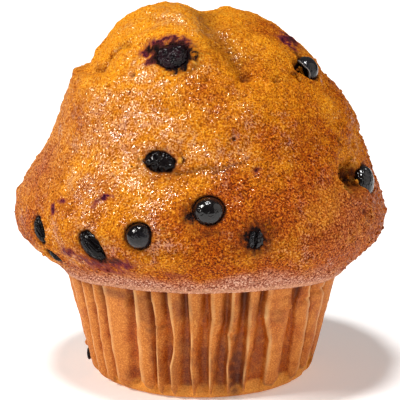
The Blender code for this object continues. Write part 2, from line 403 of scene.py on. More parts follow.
def crown_net():
    """Directions of the net's points, its faces, and the loop of points along its open edge."""
    steps = np.linspace(-1, 1, CAP_CELLS + 1)
    u, v = np.meshgrid(steps, steps, indexing="ij")
    size = np.maximum(np.abs(u), np.abs(v))
    safe = np.where(size == 0, 1, size)
    wide = np.abs(u) >= np.abs(v)
    azimuth = np.where(wide, np.where(u > 0, 0, 180) + 45 * v / np.where(wide & (u != 0), u, safe),
                       np.where(v > 0, 90, 270) - 45 * u / np.where(wide, safe, v))
    cap = directions(azimuth.ravel(), 90 - (90 - CAP_EDGE) * size.ravel())
    number = np.arange((CAP_CELLS + 1) ** 2).reshape(CAP_CELLS + 1, -1)
    faces = np.stack([number[:-1, :-1], number[1:, :-1], number[1:, 1:], number[:-1, 1:]], -1)
    loop = np.concatenate([number[-1, :-1], number[:0:-1, -1], number[0, :0:-1], number[:-1, 0]])
    turns = -45 + 360 * np.arange(len(loop)) / len(loop)
    share = np.arange(1, SIDE_ROWS + 1)[:, None] / SIDE_ROWS
    falls = CAP_EDGE + (lip_elevation(turns)[None] - CAP_EDGE) * share
    side = directions(np.broadcast_to(turns, falls.shape).ravel(), falls.ravel())
    rings = np.concatenate([loop[None], number.size + np.arange(len(side)).reshape(SIDE_ROWS, -1)])
    return np.concatenate([cap, side]), np.concatenate([faces.reshape(-1, 4), ring_faces(rings)]), rings[-1]


look, net_faces, lip_loop = crown_net()
print("crown net:", len(look), "points, cells of",
      round(math.radians(90 / CAP_CELLS) * (HEAP_RADIUS + 2), 2), "mm")

# %% [markdown]
# ## Crust material
# The skin of a baked muffin is set batter: sugars browned to golden orange on top, deeper lower
# down and on the right, dull and pinkish brown under the brim, where steam kept it soft. Melted
# sugar and butter glisten only on grains that stand out, so the coat is broken into sparks, and
# where much sugar lies a pale film of painted sheen is mixed into the colour. Painted shade darkens
# the creases, holes and hollows, and rings the berries. Places are read from attributes that are
# painted on the points further below, and noise mottles them.

# %% Patterns of the crust
CRUST_PAINTS = ("brown", "juice", "violet", "damp", "dust", "crumb", "lip", "sugar")
GRAIN_MM, MOTTLE_MM, CLOUD_MM, GLINT_MM = 0.40, 1.9, 8.0, 0.75


def per_mm(size):
    """The scale of a pattern on Object coordinates whose features are this many millimetres."""
    return 1 / (size * MM)


crust, tree, shader = material("baked golden crust")
where = add(tree, "ShaderNodeTexCoord").outputs["Object"]
read = {name: add(tree, "ShaderNodeAttribute", attribute_name=name).outputs["Fac"] for name in CRUST_PAINTS}
grain, mottle, cloud, facets = [
    add(tree, "ShaderNodeTexNoise", {
        "Vector": where, "Scale": per_mm(size), "Detail": detail, "Roughness": roughness})
    for size, detail, roughness in (
        (GRAIN_MM, 2.0, 0.6), (MOTTLE_MM, 2.0, 0.5), (CLOUD_MM, 1.0, 0.5), (GLINT_MM, 1.0, 0.5))]
print("crust patterns of", GRAIN_MM, MOTTLE_MM, CLOUD_MM, "mm")

# %% Colours of the crust
CLOUD_SWING, MOTTLE_SWING = 0.26, 0.18   # how far each makes the crust browner or paler
SUGAR_GATHERS = 0.195        # how far a sugared patch helps grains to glisten
PAINTED_SHEEN_MOST = 0.26                  # the most that the pale painted sheen covers
# The last ramp colours the painted shade in the creases.
golden, browned, dusty, damp = [add(tree, "ShaderNodeValToRGB", {0: grain}, stops=stops) for stops in (
    ((0.33, "#aa5604"), (0.45, "#d87e08"), (0.56, "#f09e16"), (0.70, "#fdc248")),
    ((0.34, "#521a02"), (0.46, "#903a01"), (0.56, "#ba5703"), (0.69, "#e08a1c")),
    ((0.36, "#66281a"), (0.47, "#a8644a"), (0.56, "#d09276"), (0.66, "#f4c8ae")),
    ((0.32, "#4c2404"), (0.70, "#8f5410")))]
inner = add(tree, "ShaderNodeValToRGB", {0: mottle}, stops=(
    (0.34, "#5a2604"), (0.50, "#9c520e"), (0.68, "#e0a03a")))
how_brown = add_swing(tree, read["brown"], cloud, 0.2, CLOUD_SWING)
how_brown = add_swing(tree, how_brown, mottle, 0.2, MOTTLE_SWING)
gathered = add(tree, "ShaderNodeMath", {0: mottle, 1: 0.5, 2: grain}, operation="MULTIPLY_ADD")
gathered = add(tree, "ShaderNodeMath", {0: read["sugar"], 1: SUGAR_GATHERS, 2: gathered},
               operation="MULTIPLY_ADD")
# Painted sheen: a pale film mixed into the colour where sugar lies thick and grains gather.
painted_sheen = add(tree, "ShaderNodeMapRange", {0: gathered, 1: 0.90, 2: 1.08, 3: 0.0, 4: PAINTED_SHEEN_MOST})
sheen_share = add(tree, "ShaderNodeMapRange", {0: read["sugar"], 1: 0.55, 2: 0.95})
painted_sheen = add(tree, "ShaderNodeMath", {0: painted_sheen, 1: sheen_share}, operation="MULTIPLY")
coats = [(how_brown, browned), (read["dust"], dusty), (painted_sheen, colour("#f8c898")),
         (read["lip"], colour("#dca07c")), (read["crumb"], inner), (read["damp"], damp)]
broken = add(tree, "ShaderNodeMapRange", {0: grain, 1: 0.3, 2: 0.7, 3: 0.6, 4: 1.3})
stained_and_shaded = read["dust"]
# Real juice and violet stains, and painted shade that shares the juice paint.
for name, stops in (
        ("violet", ((0.0, "#8a3c28"), (0.35, "#701a38"), (0.75, "#3a0a20"), (1.0, "#1c0612"))),
        ("juice", ((0.0, "#7a3a0e"), (0.4, "#3c1a0c"), (0.8, "#0b0507")))):
    dye_and_shade = add(tree, "ShaderNodeMath", {0: broken, 1: read[name]}, operation="MULTIPLY", use_clamp=True)
    coats.append((add(tree, "ShaderNodeMapRange", {0: dye_and_shade, 1: 0.02, 2: 0.6}),
                  add(tree, "ShaderNodeValToRGB", {0: dye_and_shade}, stops=stops)))
    stained_and_shaded = add(tree, "ShaderNodeMath", {0: dye_and_shade, 1: stained_and_shaded}, operation="ADD")
base = golden
for share, coat in coats:
    base = add(tree, "ShaderNodeMix", {0: share, 6: base, 7: coat}, data_type="RGBA")
print("crust of", 1 + len(coats), "colours, one over the other")

# %% Gloss and relief of the crust
RELIEF_MM = 0.42
dull = add(tree, "ShaderNodeMapRange", {0: read["dust"], 1: 0.0, 2: 1.0, 3: 0.42, 4: 0.75})
rough = add(tree, "ShaderNodeMapRange", {0: mottle, 1: 0.3, 2: 0.7, 3: -0.08, 4: 0.12})
sandy = add(tree, "ShaderNodeMath", {0: facets, 1: 0.7, 2: grain}, operation="MULTIPLY_ADD")
relief, glaze = [
    add(tree, "ShaderNodeBump", {"Height": height, "Strength": 1.0, "Distance": RELIEF_MM * MM})
    for height in (sandy, facets)]
wet = add(tree, "ShaderNodeMapRange", {0: gathered, 1: 0.89, 2: 0.935, 3: 0.0, 4: 1.0})
sparse = add(tree, "ShaderNodeMapRange", {0: read["sugar"], 1: 0.0, 2: 0.4, 3: 0.15, 4: 1.0})
dry = add(tree, "ShaderNodeMapRange", {0: stained_and_shaded, 1: 0.0, 2: 0.5, 3: 1.0, 4: 0.0})
for share in (sparse, dry):
    wet = add(tree, "ShaderNodeMath", {0: wet, 1: share}, operation="MULTIPLY")
wire(tree, shader, {
    "Base Color": base, "Normal": relief, "Specular IOR Level": 0.06,
    "Roughness": add(tree, "ShaderNodeMath", {0: dull, 1: rough}, operation="ADD"),
    "Coat Weight": wet, "Coat Normal": glaze, "Coat Roughness": 0.10, "Coat IOR": 1.7})
print("crust shader:", len(tree.nodes), "nodes")

# %% Lay the net on the crown
BERRY_NODES = sorted(node for node in frame["nodes"] if node.startswith("berry"))
crown_solid = merged_copy("crown_solid", "muffin")
berry_solids = merged_copy("berry_solids", *BERRY_NODES)
crown = new_object("crown_crust", HEAP_CENTRE + look * NET_AWAY, net_faces.tolist())
run_tree(crown, lay_net, {
    "Solid": crown_solid, "Berries": berry_solids, "Finish": crust,
    "Aim low": HEAP_CENTRE[2] * MM, "Aim high": HEAP_CENTRE[2] * MM,
    "Pocket reach": 0.7 * MM, "Pocket steps": 260, "Round steps": 22,
    "Lump size": 5.5 * MM, "Lump height": 0.45 * MM,
    "Pebble size": 1.5 * MM, "Pebble height": 0.27 * MM,
    "Pore spacing": 3.6 * MM, "Pore size": 0.75 * MM, "Pore depth": 0.5 * MM, "Seed": 3.0})
laid = points_of(crown.data)
print("laid crown:", laid.min(0).round(1), laid.max(0).round(1))

# %% [markdown]
# ## Folds, creases and dents that have a place of their own
# The tree gave the crown its general skin. What is left are single events of the bake: one lobe
# of batter that pushed over the next, a crack at its edge, a dent, a torn
# rim. Each is a row in a table, given by directions from the heap's centre, and is pressed into the
# points in code, because a rule for everything would blur what makes this one muffin itself.


# %% Places on the crown
def skin_axes(azimuth, elevation):
    """East, north and outwards on the crown in a direction."""
    out = directions(float(azimuth), float(elevation))
    east = directions(azimuth + 90.0, 0.0)
    return east, np.cross(out, east), out


def spot(azimuth, elevation, wide, high, turn=0.0, hard=2.0):
    """1 in the middle of an oval spot, 0 well past its half sizes; hard sharpens its edge."""
    east, north, out = skin_axes(azimuth, elevation)
    x, y = HEAP_RADIUS * (look @ east), HEAP_RADIUS * (look @ north)
    c, s = math.cos(math.radians(turn)), math.sin(math.radians(turn))
    far = np.hypot((c * x + s * y) / wide, (c * y - s * x) / high)
    return np.where(look @ out > 0, np.exp(-far ** hard), 0)


def waves(points, size, seed, count=16):
    """Smooth values from about -1 to 1 that change over this many millimetres."""
    rng = np.random.default_rng(seed)
    turns = rng.normal(size=(count, 3))
    turns /= np.linalg.norm(turns, axis=1)[:, None]
    pace = 2 * math.pi / size * rng.uniform(0.5, 1.3, count)
    phases = rng.uniform(0, 2 * math.pi, count)
    return np.sin(points @ (turns * pace[:, None]).T + phases).sum(1) * math.sqrt(2 / count) / 1.4


def trail(path, wander=0.0, seed=0):
    """How far each point is from a path over the crown, on which side (left is +), and how far along."""
    here = look
    if wander:
        shift = np.stack([waves(look * HEAP_RADIUS, 5.0, seed + n) for n in range(3)], -1)
        here = look + shift * wander / HEAP_RADIUS
    knots = directions(*np.array(path, float).T)
    best, side, along = np.full(len(look), 1e9), np.zeros(len(look)), np.zeros(len(look))
    for number, (first, last) in enumerate(zip(knots, knots[1:])):
        run = last - first
        share = np.clip((here - first) @ run / (run @ run), 0, 1)
        gap = here - (first + share[:, None] * run)
        length = HEAP_RADIUS * np.linalg.norm(gap, axis=1)
        closer = length < best
        best[closer] = length[closer]
        side[closer] = np.sign(np.einsum("ij,ij->i", np.cross(run, gap), here))[closer]
        along[closer] = ((number + share) / (len(knots) - 1))[closer]
    return best, side, along


def bell(distance, width):
    return np.exp(-(distance / width) ** 2)


# %% Folds, dents and swells
FOLDS = (   # path over the crown, depth and half width of its groove,
            # height, side and offset of the lip beside it, painted crease shade, wander
    (((84, 74), (-84, 84), (-84, 71), (-80, 64), (-76, 58), (-71.5, 52.5), (-68.5, 47)),
     0.45, 2.6, 0.15, 1, 3.6, 0.62, 0.5),
    (((-162, 47), (-154, 47.5), (-148, 48.5), (-146.8, 53), (-139, 56.5), (-131, 56)),
     0.9, 0.8, 0.45, 1, 1.6, 0.5, 0.4),
    (((-150, 69), (-142, 70), (-128, 66), (-112, 67.5), (-98, 66)), 0.45, 1.0, 0.35, 1, 1.5, 0.12, 0.6),
    (((-104, 13.6), (-99, 13.2), (-93, 13.9), (-85, 15.2), (-76, 16.2)), 0.5, 0.5, 0.2, 1, 1.0, 0.5, 0.3),
    (((-112, -8.0), (-106, -9.6), (-99, -10.2), (-92, -9.0)), 0.35, 0.7, 0.30, -1, 1.2, 0.1, 0.3),
    (((-40, 9), (-37, 3.5), (-31, 0.5), (-25, -1.5)), 0.5, 0.6, 0.9, -1, 1.0, 0.15, 0.2),
    (((40, 70), (66, 56), (98, 50), (124, 40)), 0.9, 1.2, 0.4, 1, 1.8, 0.45, 0.6),
    (((20, 30), (34, 22), (52, 20), (70, 26)), 0.5, 0.9, 0.3, -1, 1.4, 0.2, 0.6),
    (((160, 62), (176, 55), (-172, 40)), 0.5, 0.9, 0.3, 1, 1.4, 0.15, 0.6),
)
DENTS = (   # azimuth, elevation, half width, half height, turn, depth, hardness of the edge
    (-69.0, 46.2, 2.1, 1.2, 20, 1.3, 3.0),       # the end of the top fold
    (-55.6, 43.2, 1.1, 1.0, 0, 1.1, 3.0),        # a small hole beside the right lobe
    (-34.1, 19.3, 0.8, 0.7, 0, 0.7, 3.0),
    (-122.4, 45.2, 0.8, 0.7, 0, 0.6, 3.0),
    (-72.3, 14.2, 1.0, 0.6, 10, 0.5, 3.0),
    (-79.2, 24.3, 0.7, 0.6, 0, 0.6, 3.0),
    (-31.7, -3.0, 0.9, 0.7, 0, 0.5, 3.0),
    (-31.5, 7.3, 3.9, 3.2, 0, 2.4, 4.0),          # the hollow beside the right-hand berry
    (-88.0, 44.0, 0.6, 0.6, 0, 0.5, 3.0),
    (-97.0, 33.0, 5.0, 3.0, 0, 0.35, 2.0),
    (-63.0, 32.0, 4.5, 2.6, 20, 0.35, 2.0),
    (-113.0, 27.0, 5.5, 2.2, -10, 0.35, 2.0),
    (-50.0, 22.0, 6.0, 3.0, 15, 0.4, 2.0),
    (-26.6, 7.2, 2.7, 3.0, 0, 1.6, 3.0),
    (-93.0, 1.8, 1.5, 2.2, 0, 0.7, 2.5),         # the dark gap on the left of the front berry
    (-121.5, -3.5, 2.0, 1.2, 0, 0.4, 2.0),
    (-116.0, -15.0, 2.4, 0.8, 0, 0.35, 2.0),
    (78.0, 0.0, 5.0, 3.0, 0, 0.5, 2.0), (135.0, 30.0, 5.0, 3.0, 30, 0.45, 2.0),
    (15.0, 35.0, 4.5, 3.0, 0, 0.45, 2.0), (165.0, 5.0, 5.0, 3.0, 0, 0.4, 2.0),
)
SWELLS = (  # azimuth, elevation, half width, half height, turn, height
    (-88.0, 38.0, 4.5, 3.0, 0, 0.35), (-106.0, 36.0, 3.4, 2.4, 10, 0.35), (-126.0, 40.0, 3.6, 2.4, 0, 0.3),
    (-75.0, 30.0, 4.0, 2.6, 0, 0.3), (-131.0, 6.0, 5.0, 2.4, 0, 0.35), (-112.0, 6.0, 4.0, 2.4, 0, 0.35),
    (-100.0, -2.0, 2.6, 1.8, 0, 0.3), (-95.5, 50.0, 2.4, 1.8, 0, 0.35), (-120.0, 60.0, 4.0, 3.0, 0, 0.35),
    (178.0, -2.0, 3.0, 1.0, 0, 0.7),             # the small nick on the brim's left edge
    (-6.0, -7.0, 4.0, 1.4, 30, 0.5),             # the torn rim on its right
    (-40.0, 55.0, 3.0, 4.0, 0, 0.4), (-24.0, 25.0, 2.0, 2.4, 0, 0.4), (-14.0, 33.0, 3.0, 2.0, 0, 0.45),
    (-45.0, 11.0, 1.6, 4.0, 20, 0.35),
)

OUTLINE = (  # elevation, then how much fuller the right and the left side stand there
    (75, -0.4, -1.0), (66, -0.7, 0.0), (58, -0.4, 0.0), (50, 0.0, 0.3), (46, -0.4, -0.5),
    (44.8, -0.52, -0.3), (43.3, -0.67, 1.0), (42, -0.63, 0.7), (40, -0.49, 0.0), (36, -0.2, -0.6),
    (30, 0.1, -0.5), (25, 0.1, -0.2), (18, -0.4, 0.0), (12, -0.5, 0.0), (6, -0.4, 0.0),
    (1, -0.3, 0.0), (-4, -0.5, 0.2), (-8, 0.0, 0.3), (-12, 0.2, 0.6), (-17, 0.0, 0.4),
    (-22, 0.0, 0.2), (-28, 0.0, 0.0))

# %% Press them in
HOLE_HARDNESS = 2.6          # a dent with an edge harder than this is a hole, darkened inside with painted shade
lift = np.zeros(len(look))
paint_on = {name: np.zeros(len(look)) for name in (*CRUST_PAINTS, "grit")}


def deepen(paint, values):
    """Paints these values on the crown where they are stronger than what is there."""
    paint_on[paint] = np.maximum(paint_on[paint], values)


for number, (path, depth, half, lip, side, offset, wet, wander) in enumerate(FOLDS):
    far, left, along = trail(path, wander, seed=10 * number)
    ends = np.clip(np.minimum(along, 1 - along) * 8, 0, 1) ** 0.5
    lift += ends * (lip * bell(far * left * side - offset, offset * 0.8) - depth * bell(far, half))
    # Painted shade darkens each groove.
    deepen("damp", wet * ends * bell(far, half * 1.2))
for azimuth, elevation, wide, high, turn, depth, hard in DENTS:
    here = spot(azimuth, elevation, wide, high, turn, hard)
    lift -= depth * here
    # A hole is darkened inside with painted shade.
    if hard > HOLE_HARDNESS:
        deepen("juice", 0.42 * here ** 2)
for azimuth, elevation, wide, high, turn, height in SWELLS:
    lift += height * spot(azimuth, elevation, wide, high, turn)

height, right, left = np.array(OUTLINE[::-1]).T
raised = np.degrees(np.arcsin(np.clip(look[:, 2], -1, 1)))
level_out = np.hypot(look[:, 0], look[:, 1]).clip(1e-6)
for fuller, sideways in ((right, look[:, 0]), (left, -look[:, 0])):
    lift += np.interp(raised, height, fuller) * np.clip(sideways / level_out, 0, 1) ** 2
print("fold_highlights", len(FOLDS), "dents", len(DENTS), "swells", len(SWELLS),
      "deepest", round(lift.min(), 2), "highest", round(lift.max(), 2), "mm")

# %% [markdown]
# ## Seats for the berries
# A whole berry that surfaces in the bake sits in a seat of crust: the skin dips under it, stands up
# in a thin collar round it, and takes a dark ring round it, a juice stain that is also painted shade
# where the berry meets the crust. Each berry's middle, axes and sizes are read from its solid in
# the frame, so the seat and the berry always agree.


# %% Where each berry lies
def berry_frame(node):
    """A berry's middle, its axes as rows (length, width, outwards) and its half sizes, in millimetres."""
    points = points_of(frame["nodes"][node].data)
    middle = (points.min(0) + points.max(0)) / 2
    for _ in range(3):
        out = middle - HEAP_CENTRE
        out /= np.linalg.norm(out)
        east = np.array([-out[1], out[0], 0.0])
        east /= np.linalg.norm(east)
        north = np.cross(out, east)
        flat = (points - middle) @ np.stack([east, north], 1)
        spread = np.cov(flat.T)
        long_way = np.linalg.eigh(spread)[1][:, 1]
        length = long_way[0] * east + long_way[1] * north
        axes = np.stack([length, np.cross(out, length), out])
        reach = (points - middle) @ axes.T
        middle = middle + (reach.min(0) + reach.max(0)) / 2 @ axes
    half = (reach.max(0) - reach.min(0)) / 2
    return middle, axes, half


SEAT_MM, SEAT_REACH = 1.3, 1.25              # the dip under a berry, and where it ends
COLLAR_MM, COLLAR_AT, COLLAR_WIDTH = 0.28, 1.34, 0.16
SEAT_STAIN_AND_SHADE, SEAT_STAIN_AND_SHADE_WIDTH = 0.85, 0.12    # both in half sizes of the berry
BERRIES = {node: berry_frame(node) for node in BERRY_NODES}
for node, (middle, axes, half) in BERRIES.items():
    inside = (laid - middle) @ axes.T / half
    near = np.linalg.norm(inside, axis=1)
    lift -= SEAT_MM * np.clip(SEAT_REACH - near ** 2, 0, 1)
    lift += COLLAR_MM * bell(near - COLLAR_AT, COLLAR_WIDTH)
    # A dark ring round each berry: juice stain and painted shade where the berry meets the crust.
    deepen("juice", SEAT_STAIN_AND_SHADE * bell(np.maximum(near - 1.0, 0), SEAT_STAIN_AND_SHADE_WIDTH))
    print(node, "half sizes", half.round(1))

# %% Where juice soaked in, and painted shade beside the berries
STAINS = (  # kind, azimuth, elevation, half width, half height, turn, strength
    ("juice", -102.5, 51.2, 4.6, 3.4, 0, 1.0), ("juice", -112.0, 53.2, 2.6, 1.2, -14, 0.95),
    ("juice", -118.0, 54.4, 1.6, 0.8, -20, 0.8), ("juice", -101.0, 48.2, 3.4, 1.9, 0, 1.0),
    ("juice", -95.0, 52.2, 2.4, 0.8, 10, 0.6), ("juice", -89.0, 53.0, 2.0, 0.5, 8, 0.32),
    ("violet", -104.0, 55.6, 3.8, 2.2, -6, 0.9), ("violet", -113.0, 55.0, 3.6, 1.6, -14, 0.85),
    ("violet", -113.0, 50.4, 2.4, 1.2, 20, 0.85), ("violet", -117.0, 53.2, 3.4, 1.4, -8, 0.8),
    ("juice", -104.5, 17.0, 4.1, 2.7, -8, 0.62), ("juice", -97.0, 17.5, 1.5, 0.8, 0, 0.7),
    ("juice", -111.0, 17.4, 1.4, 0.6, 0, 0.6),
    ("juice", -75.3, -6.0, 2.6, 2.6, 0, 0.62), ("juice", -74.0, -3.6, 3.4, 1.6, 12, 0.40),
    ("juice", -71.0, -1.2, 0.5, 1.5, -14, 0.45), ("juice", -79.0, -4.2, 2.2, 1.6, 0, 0.30),
    ("violet", -140.0, -1.0, 0.6, 1.6, 10, 0.75), ("violet", -137.5, 1.8, 2.0, 0.5, 5, 0.65),
    ("violet", -123.5, 2.5, 0.7, 1.5, -25, 0.7), ("violet", -120.2, 5.0, 1.8, 0.7, 10, 0.85),
    ("violet", -122.0, 9.0, 4.5, 2.6, 10, 0.16),
    ("violet", -124.0, -14.4, 5.2, 1.4, -6, 0.5), ("violet", -114.5, -14.2, 4.0, 1.4, 8, 0.55),
    ("juice", -118.5, -13.0, 3.2, 1.0, 8, 0.5), ("violet", -119.0, -17.0, 5.5, 1.2, 0, 0.4),
    ("violet", -133.0, -12.5, 2.6, 1.2, 0, 0.6), ("violet", -99.0, -17.0, 3.0, 1.0, 0, 0.3),
    ("violet", -22.3, 58.0, 2.0, 3.2, 0, 0.75), ("juice", -27.0, 54.0, 1.2, 1.4, 0, 0.5),
    ("violet", -8.0, 58.5, 4.4, 2.6, -20, 0.85), ("juice", -12.0, 57.0, 2.4, 1.2, -20, 0.5),
    ("violet", -72.3, 14.2, 1.1, 0.6, 10, 0.85), ("juice", -79.2, 24.3, 0.5, 0.45, 0, 0.6),
    ("juice", -122.4, 45.2, 0.6, 0.5, 0, 0.5), ("violet", -31.7, -3.0, 0.9, 0.7, 0, 0.5),
    ("juice", 112.0, 56.0, 4.2, 3.6, 0, 0.8), ("violet", 112.0, 56.0, 5.4, 4.4, 0, 0.8),
    ("violet", 48.0, 34.0, 4.2, 3.4, 0, 0.6), ("juice", 97.0, 20.0, 3.6, 3.4, 0, 0.5),
    ("juice", 150.0, 22.0, 4.2, 3.0, 0, 0.6), ("violet", 140.0, -12.0, 5.0, 1.6, 5, 0.7),
    ("violet", 70.0, 4.0, 2.0, 0.9, 0, 0.5),
)
SHADE_AND_JUICE_BLOTCHES = (  # azimuth, elevation, half width, half height, strength: soft dark blotches, juice stain and painted shade beside the berries
    (-75.3, -5.0, 3.6, 3.2, 0.80), (-104.0, 17.0, 4.8, 3.6, 0.45), (-93.0, 1.4, 1.7, 2.3, 0.75),
    (-123.0, -9.0, 4.4, 3.4, 0.35), (-108.0, -5.0, 3.6, 3.4, 0.30), (-88.0, -3.0, 4.0, 2.0, 0.30))
fray = 1 + 0.5 * waves(laid, 1.1, 71) + 0.3 * waves(laid, 3.0, 72)
for kind, azimuth, elevation, wide, high, turn, strength in STAINS:
    here = spot(azimuth, elevation, wide, high, turn, 3.0)
    deepen(kind, strength * np.clip(here * fray, 0, 1))
# Soft painted shade, with juice, in the gaps beside the front and sunken berries.
for azimuth, elevation, wide, high, strength in SHADE_AND_JUICE_BLOTCHES:
    here = spot(azimuth, elevation, wide, high, 0, 1.8)
    deepen("juice", strength * here * np.clip(fray, 0.4, 1.4))
print("stains", len(STAINS) + len(SHADE_AND_JUICE_BLOTCHES), "juice", paint_on["juice"].mean().round(3))

# %% Browning, sugar and dust
BROWNER = (  # how much browner, azimuth, elevation, half width, half height, hardness
    (-0.14, -125, 28, 22, 18, 3), (0.70, -28, 67, 14, 10, 2), (0.20, -84, 16, 13, 16, 2),
    (0.18, -150, 12, 14, 14, 2))
# Where sugar lies: it makes grains glisten and also places the painted sheen.
SUGAR_AND_SHEEN_SPOTS = (  # how much sugar, and the rest as above
    (1.0, -121, 22, 23, 23, 3), (0.28, -66, 24, 16, 18, 3), (0.7, 110, 20, 26, 24, 4),
    (0.62, -115, 72, 13, 9, 3))
DUSTED = ((0.28, -166, 17, 14, 15, 2), (0.16, -36, -6, 15, 9, 2))


def spots(rows):
    """The sum of oval spots, from rows of strength, azimuth, elevation, half sizes and hardness."""
    return sum(strength * spot(azimuth, elevation, wide, high, 0, hard)
               for strength, azimuth, elevation, wide, high, hard in rows)


turned = np.degrees(np.arctan2(look[:, 1], look[:, 0]))
above_lip = np.radians(raised - lip_elevation(turned)) * HEAP_RADIUS
# The crust is browner lower down and on the right, and paler on top.
rightwards = np.clip((look[:, 0] + 0.25) / 1.15, 0, 1)
by_height = np.interp(raised, (-12, 5, 25, 42, 60), (0.76, 0.63, 0.53, 0.40, -0.2))
on_right = rightwards * np.interp(raised, (-5, 10, 25, 45), (0.38, 0.30, 0.24, 0.32))
paint_on["brown"] = np.clip(
    by_height + on_right + 0.10 * waves(laid, 16, 5) + spots(BROWNER), -0.3, 1)
paint_on["sugar"] = np.clip(spots(SUGAR_AND_SHEEN_SPOTS) + 0.28 * waves(laid, 7.0, 8), 0, 1)
paint_on["grit"] = np.clip(0.15 + 0.85 * rightwards, 0, 1) * np.interp(raised, (30, 55), (1.0, 0.2))
paint_on["lip"] = 0.7 * bell(above_lip, 0.9)
band = 6.5 + 1.6 * waves(laid, 18, 6) + 0.8 * waves(laid, 5, 7)
paint_on["dust"] = np.clip((band - above_lip) / 5.0, 0, 1) ** 1.3
deepen("dust", spots(DUSTED))
print("brown", paint_on["brown"].mean().round(2), "sugar", paint_on["sugar"].mean().round(2))

# %% The hollows beside the two right-hand berries, and the lip over the paper
HOLLOW_MM, RIM_MM, RIM_WIDE = 0.7, 0.35, 1.1   # depth of a hollow, height and width of its rim
HOLLOWS = (   # azimuth, elevation, half width, half height, turn
    (-32.0, 7.6, 3.7, 4.2, 70), (-26.6, 7.2, 2.7, 3.2, 0), (-35.5, 48.2, 1.9, 1.5, 60))
LIP_FLARE = 0.8
for azimuth, elevation, wide, high, turn in HOLLOWS:
    inside = spot(azimuth, elevation, wide, high, turn, 8.0)
    lift += inside * (0.35 * waves(laid, 1.8, 31) + 0.25 * waves(laid, 1.1, 32) - HOLLOW_MM)
    lift += RIM_MM * (spot(azimuth, elevation, wide + RIM_WIDE, high + RIM_WIDE, turn, 5.0) - inside)
    deepen("crumb", inside)
    # Painted shade inside each hollow, towards its lower left, put with the juice stains.
    shade = spot(azimuth - 2.0, elevation - 1.6, wide * 0.9, high * 0.7, turn, 5.0) * inside
    deepen("juice", 0.5 * shade * np.clip(fray, 0.2, 1.3))
lift += LIP_FLARE * bell(np.maximum(above_lip, 0), 3.2)
lift += 0.06 * waves(laid, 2.4, 41) * bell(above_lip, 2.0)
skin_points = laid + look * lift[:, None]
CALM_SPAN, CALM_MM = 10, 4.0   # the lip hangs smooth: it is evened out along itself and this far up
lip = skin_points[lip_loop]
around = [np.roll(lip, step, axis=0) for step in range(-CALM_SPAN, CALM_SPAN + 1)]
calm = sum(around) / len(around) - lip
near_lip = np.clip(1 - above_lip / CALM_MM, 0, 1)


def along_ring(azimuths, ring, values):
    """What the values of a ring of points come to at these azimuths."""
    ring_turns = np.degrees(np.arctan2(ring[:, 1], ring[:, 0]))
    order = np.argsort(ring_turns)
    return np.interp(azimuths, ring_turns[order], values[order], period=360)


for axis in range(3):
    skin_points[:, axis] += near_lip * along_ring(turned, lip, calm[:, axis])
print("lip evened out by", np.abs(calm).max().round(2), "mm at most")

# %% Close the crown: its lip rolls under, and a plain body fills the case
WALL_FOOT_RADIUS, WALL_SLOPE, FOOT_ROUND = 25.6, 0.243, 3.8   # the case's wall, as in the part's source
BODY_INSET = 3.4             # clear of the deepest pinch of the paper
BODY_BASE = 0.7              # how far the body stands off the table
LIP_ROLL = ((0.25, -0.28), (0.7, -0.38), (1.2, -0.2), (1.7, 0.3))   # inwards and up, step by step
foot_wall = WALL_FOOT_RADIUS + WALL_SLOPE * FOOT_ROUND
lip = skin_points[lip_loop]
inward = -lip * (1, 1, 0)
inward /= np.linalg.norm(inward, axis=1)[:, None]


def body_ring(heights, radii):
    """A ring of points round the body in the case, each in the direction of a point of the lip."""
    level = np.broadcast_to(heights, len(lip))
    return -inward * np.reshape(radii, (-1, 1)) + np.outer(level, (0, 0, 1))


def fan_faces(ring, pole):
    """Triangles that join a ring of point numbers to one point."""
    return [(int(a), pole, int(b)) for a, b in zip(ring, np.roll(ring, -1))]


neck = lip[:, 2] + 0.6
rows = [lip + inward * across + np.array([0, 0, up]) for across, up in LIP_ROLL]
rows += [body_ring(neck, WALL_FOOT_RADIUS + WALL_SLOPE * neck - BODY_INSET),
         body_ring(FOOT_ROUND, foot_wall - BODY_INSET),
         body_ring(BODY_BASE, foot_wall - FOOT_ROUND - 0.3)]
pole = len(look) + len(rows) * len(lip)
rings = np.concatenate([lip_loop[None], np.arange(len(look), pole).reshape(len(rows), -1)])
under_faces = ring_faces(rings).tolist() + fan_faces(rings[-1], pole)
all_points = np.concatenate([skin_points, *rows, [[0, 0, BODY_BASE]]])
bpy.data.objects.remove(crown)
crown = new_object("crown_crust", all_points, net_faces.tolist() + under_faces)
crown.data.shade_smooth()
crown.data.materials.append(crust)
for name, values in paint_on.items():
    filler = np.full(len(all_points) - len(look), 1.0 if name == "dust" else 0.0)
    set_attribute(crown.data, name, np.concatenate([values, filler]))
triangles = sum(len(face.vertices) - 2 for face in crown.data.polygons)
print("crown:", len(all_points), "points,", triangles, "triangles")

# %% [markdown]
# ## Berries
# The berries went in whole. Heat has dried some to tight satin balls, shrunk others into wrinkled
# ovals, and burst one so that its pulp set as a sticky black dome. All of them are one rule with other
# numbers: a ball of small triangles whose radius dips along creases, swells in lumps and
# is drawn in at the blossom end, where a star of five short lobes is left. A tree makes that ball at
# unit size, and code then gives it the length, width and lie of its own solid.

# %% The tree that grows a berry
def fold_line(tree, value, middle, width):
    """1 where a value equals the middle, fading to 0 this far off it."""
    off = add(tree, "ShaderNodeMath", {0: value, 1: middle}, operation="SUBTRACT")
    off = add(tree, "ShaderNodeMath", {0: off}, operation="ABSOLUTE")
    return add(tree, "ShaderNodeMapRange", {0: off, 1: 0.0, 2: width, 3: 1.0, 4: 0.0},
               interpolation_type="SMOOTHSTEP")


